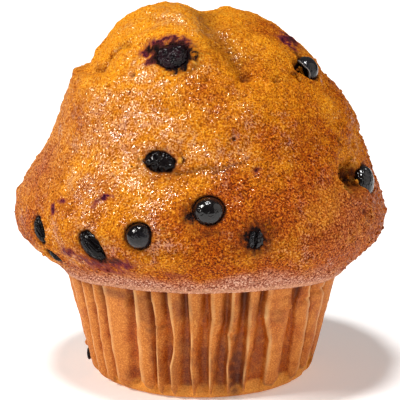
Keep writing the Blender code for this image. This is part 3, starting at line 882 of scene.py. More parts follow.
tree, given = new_tree("grow_berry", (
    ("Finish", "Material", None), ("Seed", "Float", 0.0), ("Stretch", "Vector", (1.0, 1.0, 1.0)),
    ("Lump height", "Float", 0.05), ("Crease pace", "Float", 2.0), ("Crease width", "Float", 0.05),
    ("Crease depth", "Float", 0.05), ("Grain pace", "Float", 7.0), ("Grain height", "Float", 0.0),
    ("Blossom size", "Float", 0.3), ("Blossom depth", "Float", 0.0), ("Star height", "Float", 0.0)))
place = add(tree, "GeometryNodeInputPosition")
lumps = add(tree, "ShaderNodeTexNoise", {"Vector": place, "W": given["Seed"], "Scale": 1.3, "Detail": 0.0},
            noise_dimensions="4D")
radius = add_swing(tree, 1.0, lumps, 0.2, given["Lump height"])
drawn = add(tree, "ShaderNodeVectorMath", {0: place, 1: given["Stretch"]}, operation="MULTIPLY")
field = add(tree, "ShaderNodeTexNoise", {
    "Vector": drawn, "W": given["Seed"], "Scale": given["Crease pace"], "Detail": 1.0, "Distortion": 0.4},
    noise_dimensions="4D")
crease = fold_line(tree, field, 0.5, given["Crease width"])
radius = lowered(tree, radius, crease, given["Crease depth"])
grain = add(tree, "ShaderNodeTexNoise", {
    "Vector": place, "W": given["Seed"], "Scale": given["Grain pace"], "Detail": 1.0},
    noise_dimensions="4D")
radius = add_swing(tree, radius, grain, 0.2, given["Grain height"])
parts = add(tree, "ShaderNodeSeparateXYZ", {0: place})
across = add(tree, "ShaderNodeMath", {0: parts.outputs["X"], 1: parts.outputs["X"]}, operation="MULTIPLY")
across = add(tree, "ShaderNodeMath", {0: parts.outputs["Y"], 1: parts.outputs["Y"], 2: across},
             operation="MULTIPLY_ADD")
across = add(tree, "ShaderNodeMath", {0: across}, operation="SQRT")
polar = add(tree, "ShaderNodeMath", {0: across, 1: parts.outputs["Z"]}, operation="ARCTAN2")
around = add(tree, "ShaderNodeMath", {0: parts.outputs["Y"], 1: parts.outputs["X"]}, operation="ARCTAN2")
fifths = add(tree, "ShaderNodeMath", {0: around, 1: 5.0}, operation="MULTIPLY")
lobes = add(tree, "ShaderNodeMath", {0: fifths}, operation="COSINE")
edge = add(tree, "ShaderNodeMath", {0: lobes, 1: 0.28, 2: 1.0}, operation="MULTIPLY_ADD")
edge = add(tree, "ShaderNodeMath", {0: edge, 1: given["Blossom size"]}, operation="MULTIPLY")
dimple = add(tree, "ShaderNodeMapRange", {0: polar, 1: 0.0, 2: edge, 3: 1.0, 4: 0.0},
             interpolation_type="SMOOTHSTEP")
radius = lowered(tree, radius, dimple, given["Blossom depth"])
star = fold_line(tree, polar, edge, 0.13)
radius = add(tree, "ShaderNodeMath", {
    0: star, 1: given["Star height"], 2: radius}, operation="MULTIPLY_ADD")
grown = add(tree, "ShaderNodeVectorMath", {0: place, "Scale": radius}, operation="SCALE")
moved = add(tree, "GeometryNodeSetPosition", {"Geometry": given["Geometry"], "Position": grown})
grow_berry = end_tree(tree, moved, given["Finish"])

# %% [markdown]
# Blueberry skin is thin, tough and nearly black with its dye. A whitish bloom of wax dulls it where
# nothing has rubbed or wetted it, and syrup makes it glossy where the berry has leaked. So there
# are four finishes: glossy skin, skin with bloom, set pulp and wet skin. A torn edge carries a pale
# line of painted highlight.

# %% Berry finishes
BERRY_SKINS = (   # name, skin, bloom, inside, roughness, coat, where bloom starts, how uneven
    ("glossy blueberry skin", "#060304", "#140f10", "#0c0605", 0.17, 0.16, 0.58, 0.35),
    ("bloomed blueberry skin", "#080506", "#1c1a1f", "#120906", 0.22, 0.62, 0.54, 0.22),
    ("set blueberry pulp", "#060205", "#220612", "#12060c", 0.16, 0.34, 0.50, 0.30),
    ("wet blueberry skin", "#070304", "#120c0e", "#0c0605", 0.20, 0.85, 0.58, 0.26))
TORN_EDGE_HIGHLIGHT = "#a9a7a4"
BLOOM_MM, WRINKLE_MM = 2.2, 0.5
BERRY_FINISHES = {}
for name, dark, pale, inside, roughness, coat, bloom_from, uneven in BERRY_SKINS:
    finish, tree, shader = material(name)
    where = add(tree, "ShaderNodeTexCoord").outputs["Object"]
    bloom = add(tree, "ShaderNodeTexNoise", {
        "Vector": where, "Scale": per_mm(BLOOM_MM), "Detail": 3.0, "Roughness": 0.6})
    fine = add(tree, "ShaderNodeTexNoise", {"Vector": where, "Scale": per_mm(WRINKLE_MM), "Detail": 2.0})
    shown = add(tree, "ShaderNodeMapRange", {0: bloom, 1: bloom_from - 0.12, 2: bloom_from + 0.14})
    torn, edge = [add(tree, "ShaderNodeAttribute", attribute_name=paint).outputs["Fac"]
                  for paint in ("torn", "edge")]
    base = colour(dark)
    for share, code in ((shown, pale), (torn, inside), (edge, TORN_EDGE_HIGHLIGHT)):
        base = add(tree, "ShaderNodeMix", {0: share, 6: base, 7: colour(code)}, data_type="RGBA")
    dulled = add(tree, "ShaderNodeMapRange", {
        0: bloom, 1: 0.3, 2: 0.7, 3: roughness - 0.08, 4: roughness + 0.16})
    bump = add(tree, "ShaderNodeBump", {"Height": fine, "Strength": uneven, "Distance": 0.12 * MM})
    wire(tree, shader, {
        "Base Color": base, "Roughness": dulled, "Specular IOR Level": 0.10, "Normal": bump,
        "Coat Weight": coat, "Coat Roughness": 0.11, "Coat Normal": bump})
    BERRY_FINISHES[name.split()[0]] = finish
print("finishes:", list(BERRY_FINISHES))

# %% What each berry is like
BALL_STEPS = 6               # 20,480 triangles a berry
TIGHT = {"Lump height": 0.012, "Crease depth": 0.02, "Crease width": 0.03, "Grain height": 0.004}
SHRUNK = {"Lump height": 0.05, "Crease depth": 0.16, "Crease pace": 1.7, "Crease width": 0.07,
          "Stretch": (0.6, 2.0, 1.4), "Grain height": 0.012}
STARRED = {"Lump height": 0.03, "Crease depth": 0.03, "Blossom depth": 0.16, "Star height": 0.07,
           "Grain height": 0.005}
LOOKS = {   # finish, seed, tree values
    "berry_front": ("wet", 1.0, TIGHT),
    "berry_front_left": ("bloomed", 2.0, TIGHT),
    "berry_waist": ("glossy", 3.4, {**SHRUNK, "Crease pace": 1.3, "Stretch": (1.6, 0.8, 1.0)}),
    "berry_left_oval": ("glossy", 4.0, SHRUNK),
    "berry_left_edge": ("glossy", 5.0, SHRUNK),
    "berry_left_rim": ("glossy", 6.2, SHRUNK),
    "berry_top_burst": ("set", 7.0, {"Lump height": 0.07, "Crease depth": 0.10, "Crease pace": 2.2,
                                     "Grain pace": 4.5, "Grain height": 0.035}),
    "berry_right_shoulder": ("bloomed", 8.0, {**TIGHT, "Lump height": 0.02}),
    "berry_front_sunk": ("bloomed", 9.0, {**SHRUNK, "Grain height": 0.03}),
    "berry_right_edge": ("bloomed", 10.0, {**TIGHT, "Crease depth": 0.05, "Lump height": 0.03}),
    "berry_back_high": ("set", 11.0, {"Lump height": 0.06, "Crease depth": 0.08, "Grain height": 0.03}),
    "berry_back_left": ("glossy", 12.0, SHRUNK),
    "berry_back_middle": ("bloomed", 13.0, STARRED),
    "berry_back_right": ("glossy", 14.0, STARRED),
    "berry_back_low": ("bloomed", 15.0, TIGHT),
    "berry_back_rim": ("glossy", 16.0, SHRUNK),
}
BITES = {   # where a berry's skin has opened: direction it faces, half angle, depth
    "berry_right_shoulder": ((-0.80, -0.50, -0.40), 62, 0.95),
}
SLITS = {"berry_front_sunk": (1, 0.16, 0.45), "berry_waist": (0, 0.14, 0.20)}   # axis, half width, depth


# %% Grow every berry
def unit_ball(name):
    """An object that is a ball of small, even triangles, with a radius of one metre."""
    bm = bmesh.new()
    bmesh.ops.create_icosphere(bm, subdivisions=BALL_STEPS, radius=1.0)
    mesh = bpy.data.meshes.new(name)
    bm.to_mesh(mesh)
    bm.free()
    made = bpy.data.objects.new(name, mesh)
    bpy.context.scene.collection.objects.link(made)
    return made


def ride_as(made, slot, *nodes):
    """Every piece rides on the one body and stands for its solids, which are hidden. The slot is not used.
    """
    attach(made, BODY)
    if nodes:
        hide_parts(*nodes)


for node, (finish, seed, values) in LOOKS.items():
    middle, axes, half = BERRIES[node]
    berry = run_tree(unit_ball(node + "_skin"), grow_berry,
                     {**values, "Seed": seed, "Finish": BERRY_FINISHES[finish]})
    ball = points_of(berry.data) * MM            # the ball has no size yet
    out = ball / np.linalg.norm(ball, axis=1)[:, None]
    torn, edge = np.zeros(len(ball)), np.zeros(len(ball))
    if node in BITES:
        facing, angle, depth = BITES[node]
        facing = axes @ np.array(facing)
        turn = np.degrees(np.arccos(np.clip(out @ facing / np.linalg.norm(facing), -1, 1)))
        turn = turn * (1 + 0.10 * waves(ball, 0.9, 51))
        torn = np.clip((angle - turn) / 4, 0, 1)
        ball = ball * (1 - depth * np.clip(1 - (turn / angle) ** 4, 0, 1))[:, None]
        # A pale line of painted highlight along the torn edge.
        edge = 0.8 * bell(turn - angle, 3.0)
    if node in SLITS:
        axis, width, depth = SLITS[node]
        wander = 0.12 * waves(ball, 0.8, 52)
        groove = bell(ball[:, axis] + wander, width)
        ball = ball * (1 - depth * groove * np.clip(out[:, 2] * 2, 0, 1))[:, None]
        torn = np.maximum(torn, groove * (out[:, 2] > 0))
    set_points(berry.data, middle + (ball * half) @ axes)
    set_attribute(berry.data, "torn", torn)
    set_attribute(berry.data, "edge", edge)
    ride_as(berry, "berry", node)
print(len(LOOKS), "berries of", len(berry.data.polygons), "triangles")

# %% [markdown]
# ## The paper case
# The case is one disc of greaseproof paper, pressed between fluted moulds. Its wall is a row of
# ridges, each crisp along one edge and soft along the other, with valleys between them. No two
# are alike once batter has filled it: folds lean, kink and pinch a valley shut. Since the folds
# are what the eye sees, the net's columns run along them: each ridge's two edges are given at
# six heights, and the columns between are shared out from edge to edge. A Geometry Nodes tree
# then presses the flutes in by rule, from one attribute that says how deep each column lies,
# and crumples the sheet.

# %% Where the folds run
LEVELS = (24, 20, 16, 12, 8, 4)
RIDGES = (   # azimuths of the left and of the right edge of a ridge at these heights
    ((-174.0, -173.5, -174.0, -175.0, -176.0, -176.0), (-168.5, -169.0, -170.0, -171.0, -172.5, -172.5)),
    ((-160.5, -161.0, -162.5, -164.0, -165.5, -165.5), (-154.5, -155.5, -157.0, -158.5, -160.0, -160.0)),
    ((-148.3, -149.1, -149.8, -151.3, -153.8, -154.2), (-145.0, -145.1, -146.0, -147.6, -148.9, -148.9)),
    ((-140.1, -140.4, -141.5, -142.9, -144.4, -144.4), (-136.9, -137.0, -137.9, -139.2, -140.2, -140.2)),
    ((-133.1, -133.2, -134.2, -135.0, -135.4, -135.4), (-122.0, -123.0, -124.7, -126.1, -127.3, -127.5)),
    ((-117.5, -118.2, -118.8, -119.3, -120.0, -120.4), (-113.2, -112.6, -112.9, -113.3, -113.6, -114.0)),
    ((-110.1, -109.3, -109.7, -110.3, -111.0, -111.4), (-106.9, -107.2, -108.0, -108.7, -109.1, -109.3)),
    ((-103.4, -102.8, -102.1, -102.6, -104.6, -104.8), (-99.0, -99.2, -100.1, -100.5, -101.6, -102.0)),
    ((-95.3, -95.0, -94.6, -94.8, -95.3, -94.6), (-90.8, -91.2, -92.1, -92.7, -92.8, -92.9)),
    ((-86.5, -85.9, -86.6, -86.8, -86.7, -86.5), (-82.3, -81.9, -83.7, -84.4, -84.7, -84.9)),
    ((-78.2, -78.1, -78.8, -78.1, -78.6, -77.9), (-75.2, -75.0, -75.7, -76.5, -77.2, -76.0)),
    ((-70.7, -70.7, -70.3, -70.0, -70.1, -70.2), (-66.6, -66.8, -67.0, -67.4, -68.2, -68.4)),
    ((-63.2, -64.4, -60.9, -59.1, -58.7, -58.6), (-50.9, -50.1, -50.1, -50.0, -49.9, -49.1)),
    ((-44.9, -45.8, -43.8, -43.1, -42.3, -41.0), (-41.2, -38.0, -37.0, -36.2, -35.3, -34.8)),
    ((-35.7, -34.4, -33.5, -32.0, -30.7, -30.5), (-28.6, -27.0, -25.4, -24.6, -24.0, -23.8)),
    ((-23.0, -21.6, -20.0, -18.6, -17.4, -16.8), (-15.0, -14.0, -13.2, -12.4, -11.6, -11.2)),
)
BACK_RIDGES = 20             # the ridges out of sight, with the same spread of widths and leans
FLUTE_DEPTH_MM = 1.6
SHARP_WALL, SOFT_WALL = 0.7, 2.2   # degrees round: each ridge has one crisp fold, one that rolls over
SHARP_LEFT_UNTIL = -62       # azimuth where the crisp folds change sides
RIDGE_FALL, RIDGE_BULGE = 0.34, 0.10   # shares of the depth: a ridge's fall to its soft side, its swell
LINE_MM = 0.5                # width of the painted highlight line along a crisp fold
FULL_VALLEY = 3.6            # degrees: a narrower valley is shallower
ACROSS_VALLEY, THIRDS = (0.25, 0.5, 0.75), (1 / 3, 2 / 3, 1)
LEAN, JITTER = 1.6, 0.35     # degrees: how far a ridge out of sight leans, and each of its points strays

rng = np.random.default_rng(12)
ridges = [np.array(row, float) for row in RIDGES]
gap = (360 + ridges[0][0, 0] - ridges[-1][0, 0]) / (BACK_RIDGES + 1)
for number in range(BACK_RIDGES):
    middle = ridges[len(RIDGES) - 1][0, 0] + gap * (number + 1 + rng.uniform(-0.14, 0.14))
    lean = rng.uniform(-LEAN, LEAN) * np.linspace(-0.5, 0.5, len(LEVELS))
    lean = lean + rng.normal(0, JITTER, (2, len(LEVELS)))
    ridges.append(np.array([middle, middle + gap * rng.uniform(0.40, 0.66)])[:, None] + lean)
lefts, rights = np.array(ridges).transpose(1, 0, 2)
nexts = np.roll(lefts, -1, axis=0)
nexts[-1] += 360
print("ridges:", len(ridges), "narrowest", (rights - lefts).min().round(1), "degrees")

# %% Columns of the case's net
made_columns = []            # of each: azimuths, sinks, how much painted highlight its fold takes, its tongue's end


def turn_from(azimuths, middle):
    """Degrees round the axis from a direction to azimuths, from -180 to 180."""
    return (azimuths - middle + 180) % 360 - 180


def add_column(azimuths, sink, fold=0.0, tip=1.4):
    made_columns.append((azimuths, 0 * azimuths + sink, fold, tip))


for left, right, after in zip(lefts, rights, nexts):
    valley = np.maximum(after - right, 0.4)
    sharp, soft = np.minimum(SHARP_WALL, 0.22 * valley), np.minimum(SOFT_WALL, 0.42 * valley)
    here = turn_from(left[0], 0)
    crisp_left = here < SHARP_LEFT_UNTIL if here < 0 else rng.random() < 0.5
    falls, climbs = (soft, sharp) if crisp_left else (sharp, soft)
    deep = np.clip(valley / FULL_VALLEY, 0.3, 1)
    line = math.degrees(LINE_MM / WALL_FOOT_RADIUS) / (right - left).mean()
    crests = (0, min(line, 0.24), min(2 * line, 0.42), 0.6, 0.8, 0.94, 1)   # from crisp fold to soft
    for share in crests if crisp_left else [1 - crest for crest in crests[::-1]]:
        crest = share if crisp_left else 1 - share   # the crest leans to the crisp fold
        fall = RIDGE_FALL * crest ** 1.5 - RIDGE_BULGE * math.sin(math.pi * crest)
        # A painted highlight along the crisp fold, and a weaker one just beside it.
        fold = 1.0 if crest < 0.01 else 0.6 if abs(crest - crests[1]) < 0.01 else 0.0
        add_column(left + (right - left) * share, fall, fold, abs(2 * share - 1) ** 2.5)
    for share in THIRDS:
        fall = (1 - share) * RIDGE_FALL if crisp_left else 0
        add_column(right + falls * share, deep * share + fall)
    for share in ACROSS_VALLEY:
        belly = 1 + 0.12 * math.sin(math.pi * share)
        add_column(right + falls + (valley - falls - climbs) * share, deep * belly)
    for share in THIRDS[::-1]:
        add_column(right + valley - climbs * share, deep * share)
turns, sinks, fold_highlights, tips = [np.array(part) for part in zip(*made_columns)]
columns = len(turns)
print("flutes:", len(ridges), "columns:", columns)

# %% The cup's net
WALL_ROWS, FOOT_ROWS, BASE_ROWS = 52, 9, 3
RIM_TUCK = 0.12              # how far the rim stays under the crown's lip

rim_height = along_ring(turns[:, 0], lip, lip[:, 2]) - RIM_TUCK
foot_middle = foot_wall - FOOT_ROUND

rows = []                    # height, radius over the ridges and share of the flutes' depth
for row in range(WALL_ROWS + 1):
    level = rim_height + (FOOT_ROUND - rim_height) * row / WALL_ROWS
    rows.append((level, WALL_FOOT_RADIUS + WALL_SLOPE * level, 1.0))
for row in range(1, FOOT_ROWS + 1):
    bend = math.radians(90 * (1 - row / FOOT_ROWS))
    rows.append((np.full(columns, FOOT_ROUND * (1 - math.cos(bend))),
                 np.full(columns, foot_middle + FOOT_ROUND * math.sin(bend)), math.sin(bend) ** 2))
for row in range(1, BASE_ROWS + 1):
    rows.append((np.zeros(columns), np.full(columns, foot_middle * (1 - row / (BASE_ROWS + 1))), 0.0))
heights = np.array([row[0] for row in rows])
radii = np.array([row[1] for row in rows])
fluted = np.array([row[2] for row in rows])[:, None]
azimuths, sink = np.empty(heights.shape), np.empty(heights.shape)
for column in range(columns):
    azimuths[:, column] = np.interp(heights[:, column], LEVELS[::-1], turns[column, ::-1])
    sink[:, column] = np.interp(heights[:, column], LEVELS[::-1], sinks[column, ::-1])
sink *= fluted
print("cup net of", heights.shape, "rows and columns")

# %% Bend and crush the cup
def round_case(azimuths, distances, heights):
    """Points of the cup's rows, from azimuths in degrees, distances from the axis and heights."""
    around = np.radians(azimuths)
    return np.stack([distances * np.cos(around), distances * np.sin(around), heights], -1)


SWAY_MM = 0.16
CRUSHED_AT, CRUSHED_HALF = -150, 34     # azimuth and spread in degrees of the pushed-in foot
CRUSHED_UNDER, CRUSH_MM = 8.0, 3.4
cup = round_case(azimuths, radii, heights)
flat = cup.reshape(-1, 3)
wander = SWAY_MM * (waves(flat, 5.0, 61) + 0.6 * waves(flat, 2.4, 62)).reshape(heights.shape)
azimuths += np.degrees(wander / radii.clip(5)) * np.clip(heights / 3, 0, 1)
crushed = CRUSH_MM * bell(turn_from(azimuths, CRUSHED_AT), CRUSHED_HALF)
low_down = np.clip(1 - heights / CRUSHED_UNDER, 0, 1)
radii -= crushed * low_down ** 1.2 * np.clip(radii / foot_middle, 0, 1)
heights += 0.35 * crushed * low_down * np.clip(radii / foot_middle, 0, 1) ** 3
cup = round_case(azimuths, radii, heights)
rings = np.arange(heights.size).reshape(heights.shape)
case_faces = ring_faces(rings).tolist() + fan_faces(rings[-1], heights.size)
print("cup:", heights.size + 1, "points,", len(case_faces), "faces")

# %% [markdown]
# Pinches are where a finger, the tin or the rising batter bent a fold. At the foot each ridge
# ends in a rounded tongue that stands a little proud of the oil-soaked base. Stains are butter,
# which turns the paper clear and orange, and juice, which dries purple-brown. Painted shadow
# darkens the tops of the valleys under the crown's lip, a line at each tongue's end and the wall
# away from the key lamp, and a painted highlight runs along each crisp fold.

# %% Pinches, tongues and stains
PINCHES = (  # azimuth, height, half width, half height, push outwards
    (-122.5, 22.0, 1.6, 2.0, 0.55), (-107.5, 17.6, 2.6, 0.7, -0.45), (-104.5, 15.0, 1.5, 2.4, -0.3),
    (-103.6, 8.6, 1.0, 1.4, 0.45), (-82.0, 18.8, 1.4, 1.8, 0.5), (-77.5, 15.6, 1.8, 0.9, -0.7),
    (-76.5, 17.0, 1.0, 1.0, 0.4), (-88.0, 18.6, 0.7, 2.6, 0.5), (-64.0, 20.2, 1.2, 2.2, 0.55),
    (-60.0, 13.6, 1.0, 1.8, 0.4), (-57.0, 20.4, 3.0, 0.8, -0.45), (-55.0, 17.6, 2.6, 0.6, 0.3),
    (-51.0, 21.0, 1.2, 1.0, 0.5), (-54.0, 23.4, 2.4, 0.7, -0.4), (-42.5, 21.6, 2.2, 1.0, -0.6),
    (-30.0, 22.6, 2.4, 0.9, -0.6), (-35.0, 22.6, 2.0, 1.0, -0.7), (-66.8, 12.0, 1.0, 1.6, 0.35),
    (-171.0, 6.6, 2.0, 1.3, 1.0), (-160.0, 5.0, 2.2, 1.3, 0.35), (-128.0, 4.6, 2.0, 1.2, 0.5),
    (-123.0, 3.0, 2.4, 1.0, -0.4), (-92.0, 5.5, 2.0, 2.0, 0.3),
    (40.0, 17.0, 2.0, 2.4, -0.6), (66.0, 12.0, 2.0, 3.0, 0.5), (92.0, 20.0, 2.0, 1.2, -0.6),
    (118.0, 14.0, 1.8, 2.6, 0.5), (150.0, 20.0, 2.0, 1.2, -0.5), (10.0, 15.0, 1.6, 2.6, 0.5),
)
PAPER_STAINS = (  # azimuth, height, half width, half height, strength
    (-73.5, 6.5, 2.0, 6.0, 0.95), (-73.8, 13.0, 1.7, 3.2, 0.60), (-111.8, 18.5, 1.6, 5.0, 0.42),
    (-111.5, 10.0, 1.5, 5.0, 0.36), (-105.0, 8.0, 1.6, 6.0, 0.36), (-97.4, 10.0, 1.7, 7.0, 0.50),
    (-96.8, 5.0, 1.7, 2.4, 0.55), (-89.0, 9.0, 2.2, 4.5, 0.48), (-89.4, 4.5, 2.4, 2.4, 0.35),
    (-81.4, 8.0, 1.8, 7.0, 0.58), (-79.5, 20.5, 1.8, 3.4, 0.40), (-115.5, 21.0, 2.4, 3.4, 0.42),
    (-128.0, 24.2, 4.0, 1.1, 0.50), (-117.0, 24.0, 2.4, 1.2, 0.45), (-98.0, 22.0, 2.4, 3.0, 0.40),
    (-125.0, 4.6, 2.4, 1.8, 0.32), (-63.5, 10.0, 1.8, 6.0, 0.40), (-70.0, 21.0, 3.2, 3.6, 0.30),
    (-57.0, 19.6, 2.4, 2.2, 0.28), (-46.8, 8.0, 1.6, 4.0, 0.35), (-46.5, 3.6, 1.4, 0.9, 0.55),
    (60.0, 8.0, 3.0, 5.0, 0.5), (110.0, 18.0, 3.0, 3.0, 0.35), (160.0, 9.0, 2.4, 4.0, 0.3),
)
TONGUE_PROUD = 0.9
TONGUE_END, TONGUE_ROUND, TONGUE_WAVES = 1.7, 1.1, 0.5   # heights of the line where the tongues end
OIL_AT, OIL_REACH, OIL_CLIMB = -14.0, 16.0, 2.4   # where oil has climbed higher: azimuth, then mm
PINCH_GAIN, PINCH_REACH = 1.5, 1.25   # a pinch is this much stronger and wider than its row says
SHADED_SIDE_AT, SHADED_SIDE_HALF, SHADED_SIDE_SHARE = -45, 48, 0.42   # the side of the wall away from the key lamp, darkened with painted shade
print("pinches", len(PINCHES), "paper stains", len(PAPER_STAINS))


def round_gap(azimuth):
    """Millimetres round the case from each of its points to an azimuth."""
    return np.radians(turn_from(azimuths, azimuth)) * radii


# %% Paint and push the cup's points
push = np.zeros(heights.shape)
for azimuth, level, wide, high, out in PINCHES:
    off = np.abs(round_gap(azimuth)) / wide + np.abs(heights - level) / high
    push += PINCH_GAIN * out * np.clip(PINCH_REACH - off, 0, 1)


def case_waves(size, seed, upwards=1.0):
    """Waves over the cup's points, drawn out up the wall where upwards is small."""
    return waves(flat * (1, 1, upwards), size, seed).reshape(heights.shape)


tongue_end = (TONGUE_END + TONGUE_ROUND * tips + TONGUE_WAVES * case_waves(9.0, 63, 0)
              + OIL_CLIMB * np.clip(1 - np.abs(round_gap(OIL_AT)) / OIL_REACH, 0, 1))
past_end = np.clip((tongue_end - heights) / 0.7, 0, 1)
push -= TONGUE_PROUD * past_end * np.clip(1 - sink, 0, 1) * (fluted > 0)
push *= np.clip((heights - 0.6) / 1.2, 0, 1)

fray = 1 + 0.35 * case_waves(1.8, 64)
stain = np.zeros(heights.shape)
for azimuth, level, wide, high, strength in PAPER_STAINS:
    far = np.hypot(round_gap(azimuth) / wide, (heights - level) / high)
    stain = np.maximum(stain, strength * np.clip(np.exp(-far ** 4) * fray, 0, 1))
# A painted shadow line where each tongue ends, put with the stains.
tongue_end_shadow = bell(heights - tongue_end, 0.35) * (tips < 1.2)
stain = np.maximum(stain, 0.5 * tongue_end_shadow * np.clip(fray, 0, 1.2))
# Painted shade on the side of the wall away from the key lamp, added to the valley paint.
painted_shade_side = SHADED_SIDE_SHARE * bell(turn_from(azimuths, SHADED_SIDE_AT), SHADED_SIDE_HALF)
on_wall = np.clip((heights - 2.5) / 2, 0, 1)
near_rim = np.clip((heights - 14) / 10, 0, 1) ** 1.5
case_paint = {
    "sink": sink * FLUTE_DEPTH_MM * MM, "push": push * MM, "stain": stain,
    "valley": np.clip(sink + painted_shade_side, 0, 1.2),
    # Painted highlight along the crisp folds.
    "fold": fold_highlights * on_wall * np.clip(0.62 + 0.34 * case_waves(6.0, 66), 0.15, 1),
    # Painted shadow, with some soak, at the tops of the valleys under the crown's lip.
    "toast": np.clip(sink, 0, 1) * near_rim * np.clip(0.55 + 0.35 * case_waves(7.0, 65, 0.15), 0, 1),
    "oil": np.clip((tongue_end + 0.3 - heights) / 0.6, 0, 1)}
print("painted on the cup:", *case_paint)

# %% Greaseproof paper
paper, tree, shader = material("butter-soaked greaseproof paper")
where = add(tree, "ShaderNodeTexCoord").outputs["Object"]
read = {name: add(tree, "ShaderNodeAttribute", attribute_name=name).outputs["Fac"]
        for name in ("valley", "fold", "oil", "stain", "toast")}
PULP_MM, GREASE_MM = 0.34, 3.4
pulp, grease = [
    add(tree, "ShaderNodeTexNoise", {
        "Vector": where, "Scale": per_mm(size), "Detail": detail, "Roughness": 0.6})
    for size, detail in ((PULP_MM, 2.0), (GREASE_MM, 3.0))]
dry, soaked, oily, purple = [add(tree, "ShaderNodeValToRGB", {0: pulp}, stops=stops) for stops in (
    ((0.30, "#b4642a"), (0.50, "#ca782f"), (0.70, "#e0974a")),
    ((0.30, "#843604"), (0.50, "#aa4e05"), (0.70, "#cc6c0e")),
    ((0.30, "#cc7620"), (0.70, "#f2a848")),
    ((0.30, "#4c1e16"), (0.70, "#7c452e")))]
spread = add(tree, "ShaderNodeMapRange", {0: grease, 1: 0.34, 2: 0.66, 3: -0.60, 4: 0.42})
# Orange soak in the valleys, and painted shade on the side away from the key lamp.
valley_soak_and_shade = add(tree, "ShaderNodeMath", {0: read["valley"], 1: 0.85}, operation="MULTIPLY")
wet = add(tree, "ShaderNodeMath", {0: valley_soak_and_shade, 1: spread}, operation="ADD", use_clamp=True)
base = dry
# The pale fold line is a painted highlight, and the dark coat under the rim is painted shadow.
for share, coat in (
        (wet, soaked), (read["oil"], oily), (read["toast"], colour("#552308")),
        (read["stain"], purple), (read["fold"], colour("#e4ac6e"))):
    base = add(tree, "ShaderNodeMix", {0: share, 6: base, 7: coat}, data_type="RGBA")
wire(tree, shader, {
    "Base Color": base, "Specular IOR Level": 0.22,
    "Roughness": add(tree, "ShaderNodeMapRange", {0: wet, 1: 0.0, 2: 1.0, 3: 0.66, 4: 0.44}),
    "Normal": add(tree, "ShaderNodeBump", {"Height": pulp, "Strength": 0.3, "Distance": 0.12 * MM})})
print("paper shader:", len(tree.nodes), "nodes")

# %% The tree that presses and crumples the sheet
tree, given = new_tree("press_and_crumple_sheet", (
    ("Finish", "Material", None), ("Crumple size", "Float", 0.004), ("Crumple height", "Float", 0.0),
    ("Crease size", "Float", 0.001), ("Crease height", "Float", 0.0), ("Crease stretch", "Float", 1.0),
    ("Seed", "Float", 0.0)))
place = add(tree, "GeometryNodeInputPosition")
outwards = add(tree, "GeometryNodeInputNormal")
sunk, pushed = [add(tree, "GeometryNodeInputNamedAttribute", {"Name": name}, data_type="FLOAT")
                for name in ("sink", "push")]
height = add(tree, "ShaderNodeMath", {0: pushed, 1: sunk}, operation="SUBTRACT")
tall = add(tree, "ShaderNodeCombineXYZ", {0: 1.0, 1: 1.0, 2: given["Crease stretch"]})
along_creases = add(tree, "ShaderNodeVectorMath", {0: place, 1: tall}, operation="MULTIPLY")
for label, spread in (("Crumple", place), ("Crease", along_creases)):
    height = add_relief(tree, given, height, label, spread, 1.0)
tall = add(tree, "ShaderNodeCombineXYZ", {0: height, 1: height, 2: height})
shift = add(tree, "ShaderNodeVectorMath", {0: outwards, 1: tall}, operation="MULTIPLY")
level = add(tree, "ShaderNodeSeparateXYZ", {0: place})
on_wall = add(tree, "ShaderNodeMapRange", {0: level.outputs["Z"], 1: 0.0, 2: 2.0 * MM, 3: 0.0, 4: 1.0})
shift = add(tree, "ShaderNodeVectorMath", {0: shift, "Scale": on_wall}, operation="SCALE")
moved = add(tree, "GeometryNodeSetPosition", {"Geometry": given["Geometry"], "Offset": shift})
press_flutes = end_tree(tree, moved, given["Finish"])

# %% Press the case
case = new_object("paper_case_sheet", np.concatenate([flat, [[0, 0, 0]]]), case_faces)
for name, values in case_paint.items():
    set_attribute(case.data, name, np.append(values.ravel(), 0.0))
run_tree(case, press_flutes, {
    "Finish": paper, "Crumple size": 4.0 * MM, "Crumple height": 0.16 * MM,
    "Crease size": 1.6 * MM, "Crease height": 0.09 * MM, "Crease stretch": 2.2, "Seed": 5.0})
thick = case.modifiers.new("paper thickness", "SOLIDIFY")
thick.thickness = 0.14 * MM
thick.offset = -1.0
settled(case)
ride_as(case, "paper", "paper_case")
sheet = points_of(case.data)
print("case:", sum(len(face.vertices) - 2 for face in case.data.polygons), "triangles,",
      "from", sheet.min(0).round(2), "to", sheet.max(0).round(2))

# %% [markdown]
# ## Crumbs
# A baked crust is strewn with coarse grains: crumbs that came away from the batter's surface and
# sugar that did not melt. A few thousand small things follow one surface, which is what scattering in
# Geometry Nodes is for: points are drawn on the crown's faces, each takes an uneven grain of its
# own size and turn, half sunk, and all of them become one plain mesh. The points carry the crown's
# attributes along, so a grain is as brown, dusty or stained as the crust it sits on.

# %% The tree that scatters grains
tree, given = new_tree("scatter_grains", (
    ("Finish", "Material", None), ("Density", "Float", 1000.0), ("Above", "Float", 0.0),
    ("Smallest", "Float", 0.0002), ("Largest", "Float", 0.0004), ("Unevenness", "Float", 0.2),
    ("Seed", "Int", 0)))
height = add(tree, "ShaderNodeSeparateXYZ", {0: add(tree, "GeometryNodeInputPosition")})
high_up = add(tree, "ShaderNodeMath", {0: height.outputs["Z"], 1: given["Above"]}, operation="GREATER_THAN")
grit = add(tree, "GeometryNodeInputNamedAttribute", {"Name": "grit"}, data_type="FLOAT")
thick = add(tree, "ShaderNodeMath", {0: grit, 1: given["Density"]}, operation="MULTIPLY")
points = add(tree, "GeometryNodeDistributePointsOnFaces", {
    "Mesh": given["Geometry"], "Selection": high_up, "Density": thick, "Seed": given["Seed"]})
grain_ball = add(tree, "GeometryNodeMeshIcoSphere", {"Radius": 1.0, "Subdivisions": 2})
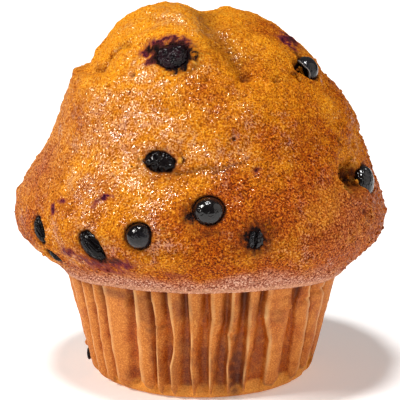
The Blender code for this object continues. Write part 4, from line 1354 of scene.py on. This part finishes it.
uneven = add(tree, "ShaderNodeTexNoise", {"Scale": 1.1, "Detail": 0.0})
radius = add_swing(tree, 1.0, uneven, 0.2, given["Unevenness"])
here = add(tree, "GeometryNodeInputPosition")
knobbly = add(tree, "GeometryNodeSetPosition", {
    "Geometry": grain_ball.outputs["Mesh"],
    "Position": add(tree, "ShaderNodeVectorMath", {0: here, "Scale": radius}, operation="SCALE")})
size = add(tree, "FunctionNodeRandomValue", {
    "Min": given["Smallest"], "Max": given["Largest"], "Seed": given["Seed"]}, data_type="FLOAT")
shape = add(tree, "FunctionNodeRandomValue", {
    "Min": (0.7, 0.8, 0.5), "Max": (1.5, 1.1, 0.9), "Seed": given["Seed"]}, data_type="FLOAT_VECTOR")
scale = add(tree, "ShaderNodeVectorMath", {0: shape, "Scale": size}, operation="SCALE")
placed = add(tree, "GeometryNodeInstanceOnPoints", {
    "Points": points.outputs["Points"], "Rotation": points.outputs["Rotation"],
    "Instance": knobbly, "Scale": scale})
spin = add(tree, "FunctionNodeRandomValue", {
    "Min": (0, 0, 0), "Max": (0.5, 0.5, 6.28), "Seed": given["Seed"]}, data_type="FLOAT_VECTOR")
turned_round = add(tree, "GeometryNodeRotateInstances", {"Instances": placed, "Rotation": spin})
scatter_grains = end_tree(tree, turned_round, given["Finish"])

# %% Scatter the grains
grains = bpy.data.objects.new("crumb_grains", crown.data.copy())
bpy.context.scene.collection.objects.link(grains)
run_tree(grains, scatter_grains, {
    "Finish": crust, "Density": 2.0e5, "Above": 27.5 * MM, "Smallest": 0.20 * MM, "Largest": 0.46 * MM,
    "Unevenness": 0.22, "Seed": 11})
ride_as(grains, "crust")
print("grains:", len(grains.data.polygons), "triangles")

# %% [markdown]
# Where a berry has torn its seat or a hollow has opened, coarser flakes of pale crumb show. They are
# few and each has its place, so they are grown one by one from a small uneven ball, pressed flat on
# the crust, and joined. A scrap of dried berry has stuck to the foot of the paper in the same way.

# %% Flakes of crumb
FLAKES = (   # azimuth, elevation, how many, then in millimetres: over how much, how large, how far up
    (-97.3, 18.0, 5, 1.0, 0.75, 0.08), (-40.5, 45.5, 7, 1.4, 0.9, 0.08), (-31.0, 9.0, 12, 2.4, 1.0, 0.15),
    (-28.5, 5.5, 8, 1.6, 0.9, 0.15), (-70.6, -2.6, 5, 1.2, 0.55, 0.08), (-34.1, 19.3, 4, 0.8, 0.6, 0.08),
    (-55.6, 43.2, 4, 0.9, 0.6, 0.08), (-112.0, 15.0, 3, 0.8, 0.5, 0.08), (-100.0, -1.0, 3, 0.8, 0.5, 0.08),
    (48.0, 28.0, 5, 1.4, 0.7, 0.08), (112.0, 50.0, 5, 1.4, 0.7, 0.08), (150.0, 17.0, 5, 1.3, 0.6, 0.08),
    (-30.5, 47.0, 8, 0.9, 0.8, 0.5),           # batter caught inside the opened berry
)
rng = np.random.default_rng(7)
skin = points_of(crown.data)
skin_ways = (skin - HEAP_CENTRE) / np.linalg.norm(skin - HEAP_CENTRE, axis=1)[:, None]
bm = bmesh.new()
bmesh.ops.create_icosphere(bm, subdivisions=3, radius=1.0)
unit = np.array([corner.co[:] for corner in bm.verts])
unit_faces = np.array([[corner.index for corner in face.verts] for face in bm.faces])
bm.free()
all_flakes, all_faces = [], []
for azimuth, elevation, count, spread, size, stands in FLAKES:
    east, north, out = skin_axes(azimuth, elevation)
    for _ in range(count):
        x, y = rng.normal(0, spread / 1.5, 2) / HEAP_RADIUS
        way = out + x * east + y * north
        way /= np.linalg.norm(way)
        foot = skin[np.argmax(skin_ways @ way)]
        uneven = 1 + 0.20 * waves(unit, 1.6, rng.integers(999))
        uneven = uneven + 0.10 * waves(unit, 0.8, rng.integers(999))
        ball = unit * uneven[:, None] * (size * rng.uniform(0.35, 0.7, 3) * (1, 1, 0.8))
        tilt = rng.normal(size=3) * 0.35 + way
        tilt /= np.linalg.norm(tilt)
        side = np.cross(tilt, rng.normal(size=3))
        side /= np.linalg.norm(side)
        placed = foot + way * stands + ball @ np.stack([side, np.cross(tilt, side), tilt])
        all_faces += (unit_faces + len(all_flakes) * len(unit)).tolist()
        all_flakes.append(placed)
all_flakes = np.concatenate(all_flakes)
flakes = new_object("crumb_flakes", all_flakes, all_faces)
flakes.data.materials.append(crust)
set_attribute(flakes.data, "crumb", np.clip(0.75 + 0.2 * waves(all_flakes, 2.0, 9), 0, 1))
set_attribute(flakes.data, "brown", np.full(len(all_flakes), 0.4))
flakes.data.shade_smooth()
ride_as(flakes, "crust")
print("flakes:", len(all_faces), "triangles")

# %% A scrap of berry on the paper
SCRAP_AT, SCRAP_HEIGHT, SCRAP_HALF = -170.5, 4.3, (1.5, 0.9, 0.5)   # azimuth, height and half sizes
scrap = run_tree(unit_ball("berry_scrap"), grow_berry, {
    **SHRUNK, "Grain height": 0.06, "Seed": 21.0, "Finish": BERRY_FINISHES["set"]})
ball = points_of(scrap.data) * MM * SCRAP_HALF
turn = math.radians(SCRAP_AT)
out = np.array([math.cos(turn), math.sin(turn), 0])
up = np.array([0.25 * math.sin(turn), -0.25 * math.cos(turn), 1.0])
up /= np.linalg.norm(up)
wall = WALL_FOOT_RADIUS + WALL_SLOPE * SCRAP_HEIGHT
foot = out * (wall + 0.15) + (0, 0, SCRAP_HEIGHT)
set_points(scrap.data, foot + ball @ np.stack([up, np.cross(out, up), out]))
ride_as(scrap, "berry")
print("scrap at", points_of(scrap.data).mean(0).round(1))

# %% [markdown]
# ## The crown takes its place
# The crown is given its place last, once everything that measured it is done, and the bounds of
# the finished model are worked out.

# %% Finish
ride_as(crown, "crust", "muffin")
low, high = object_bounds()
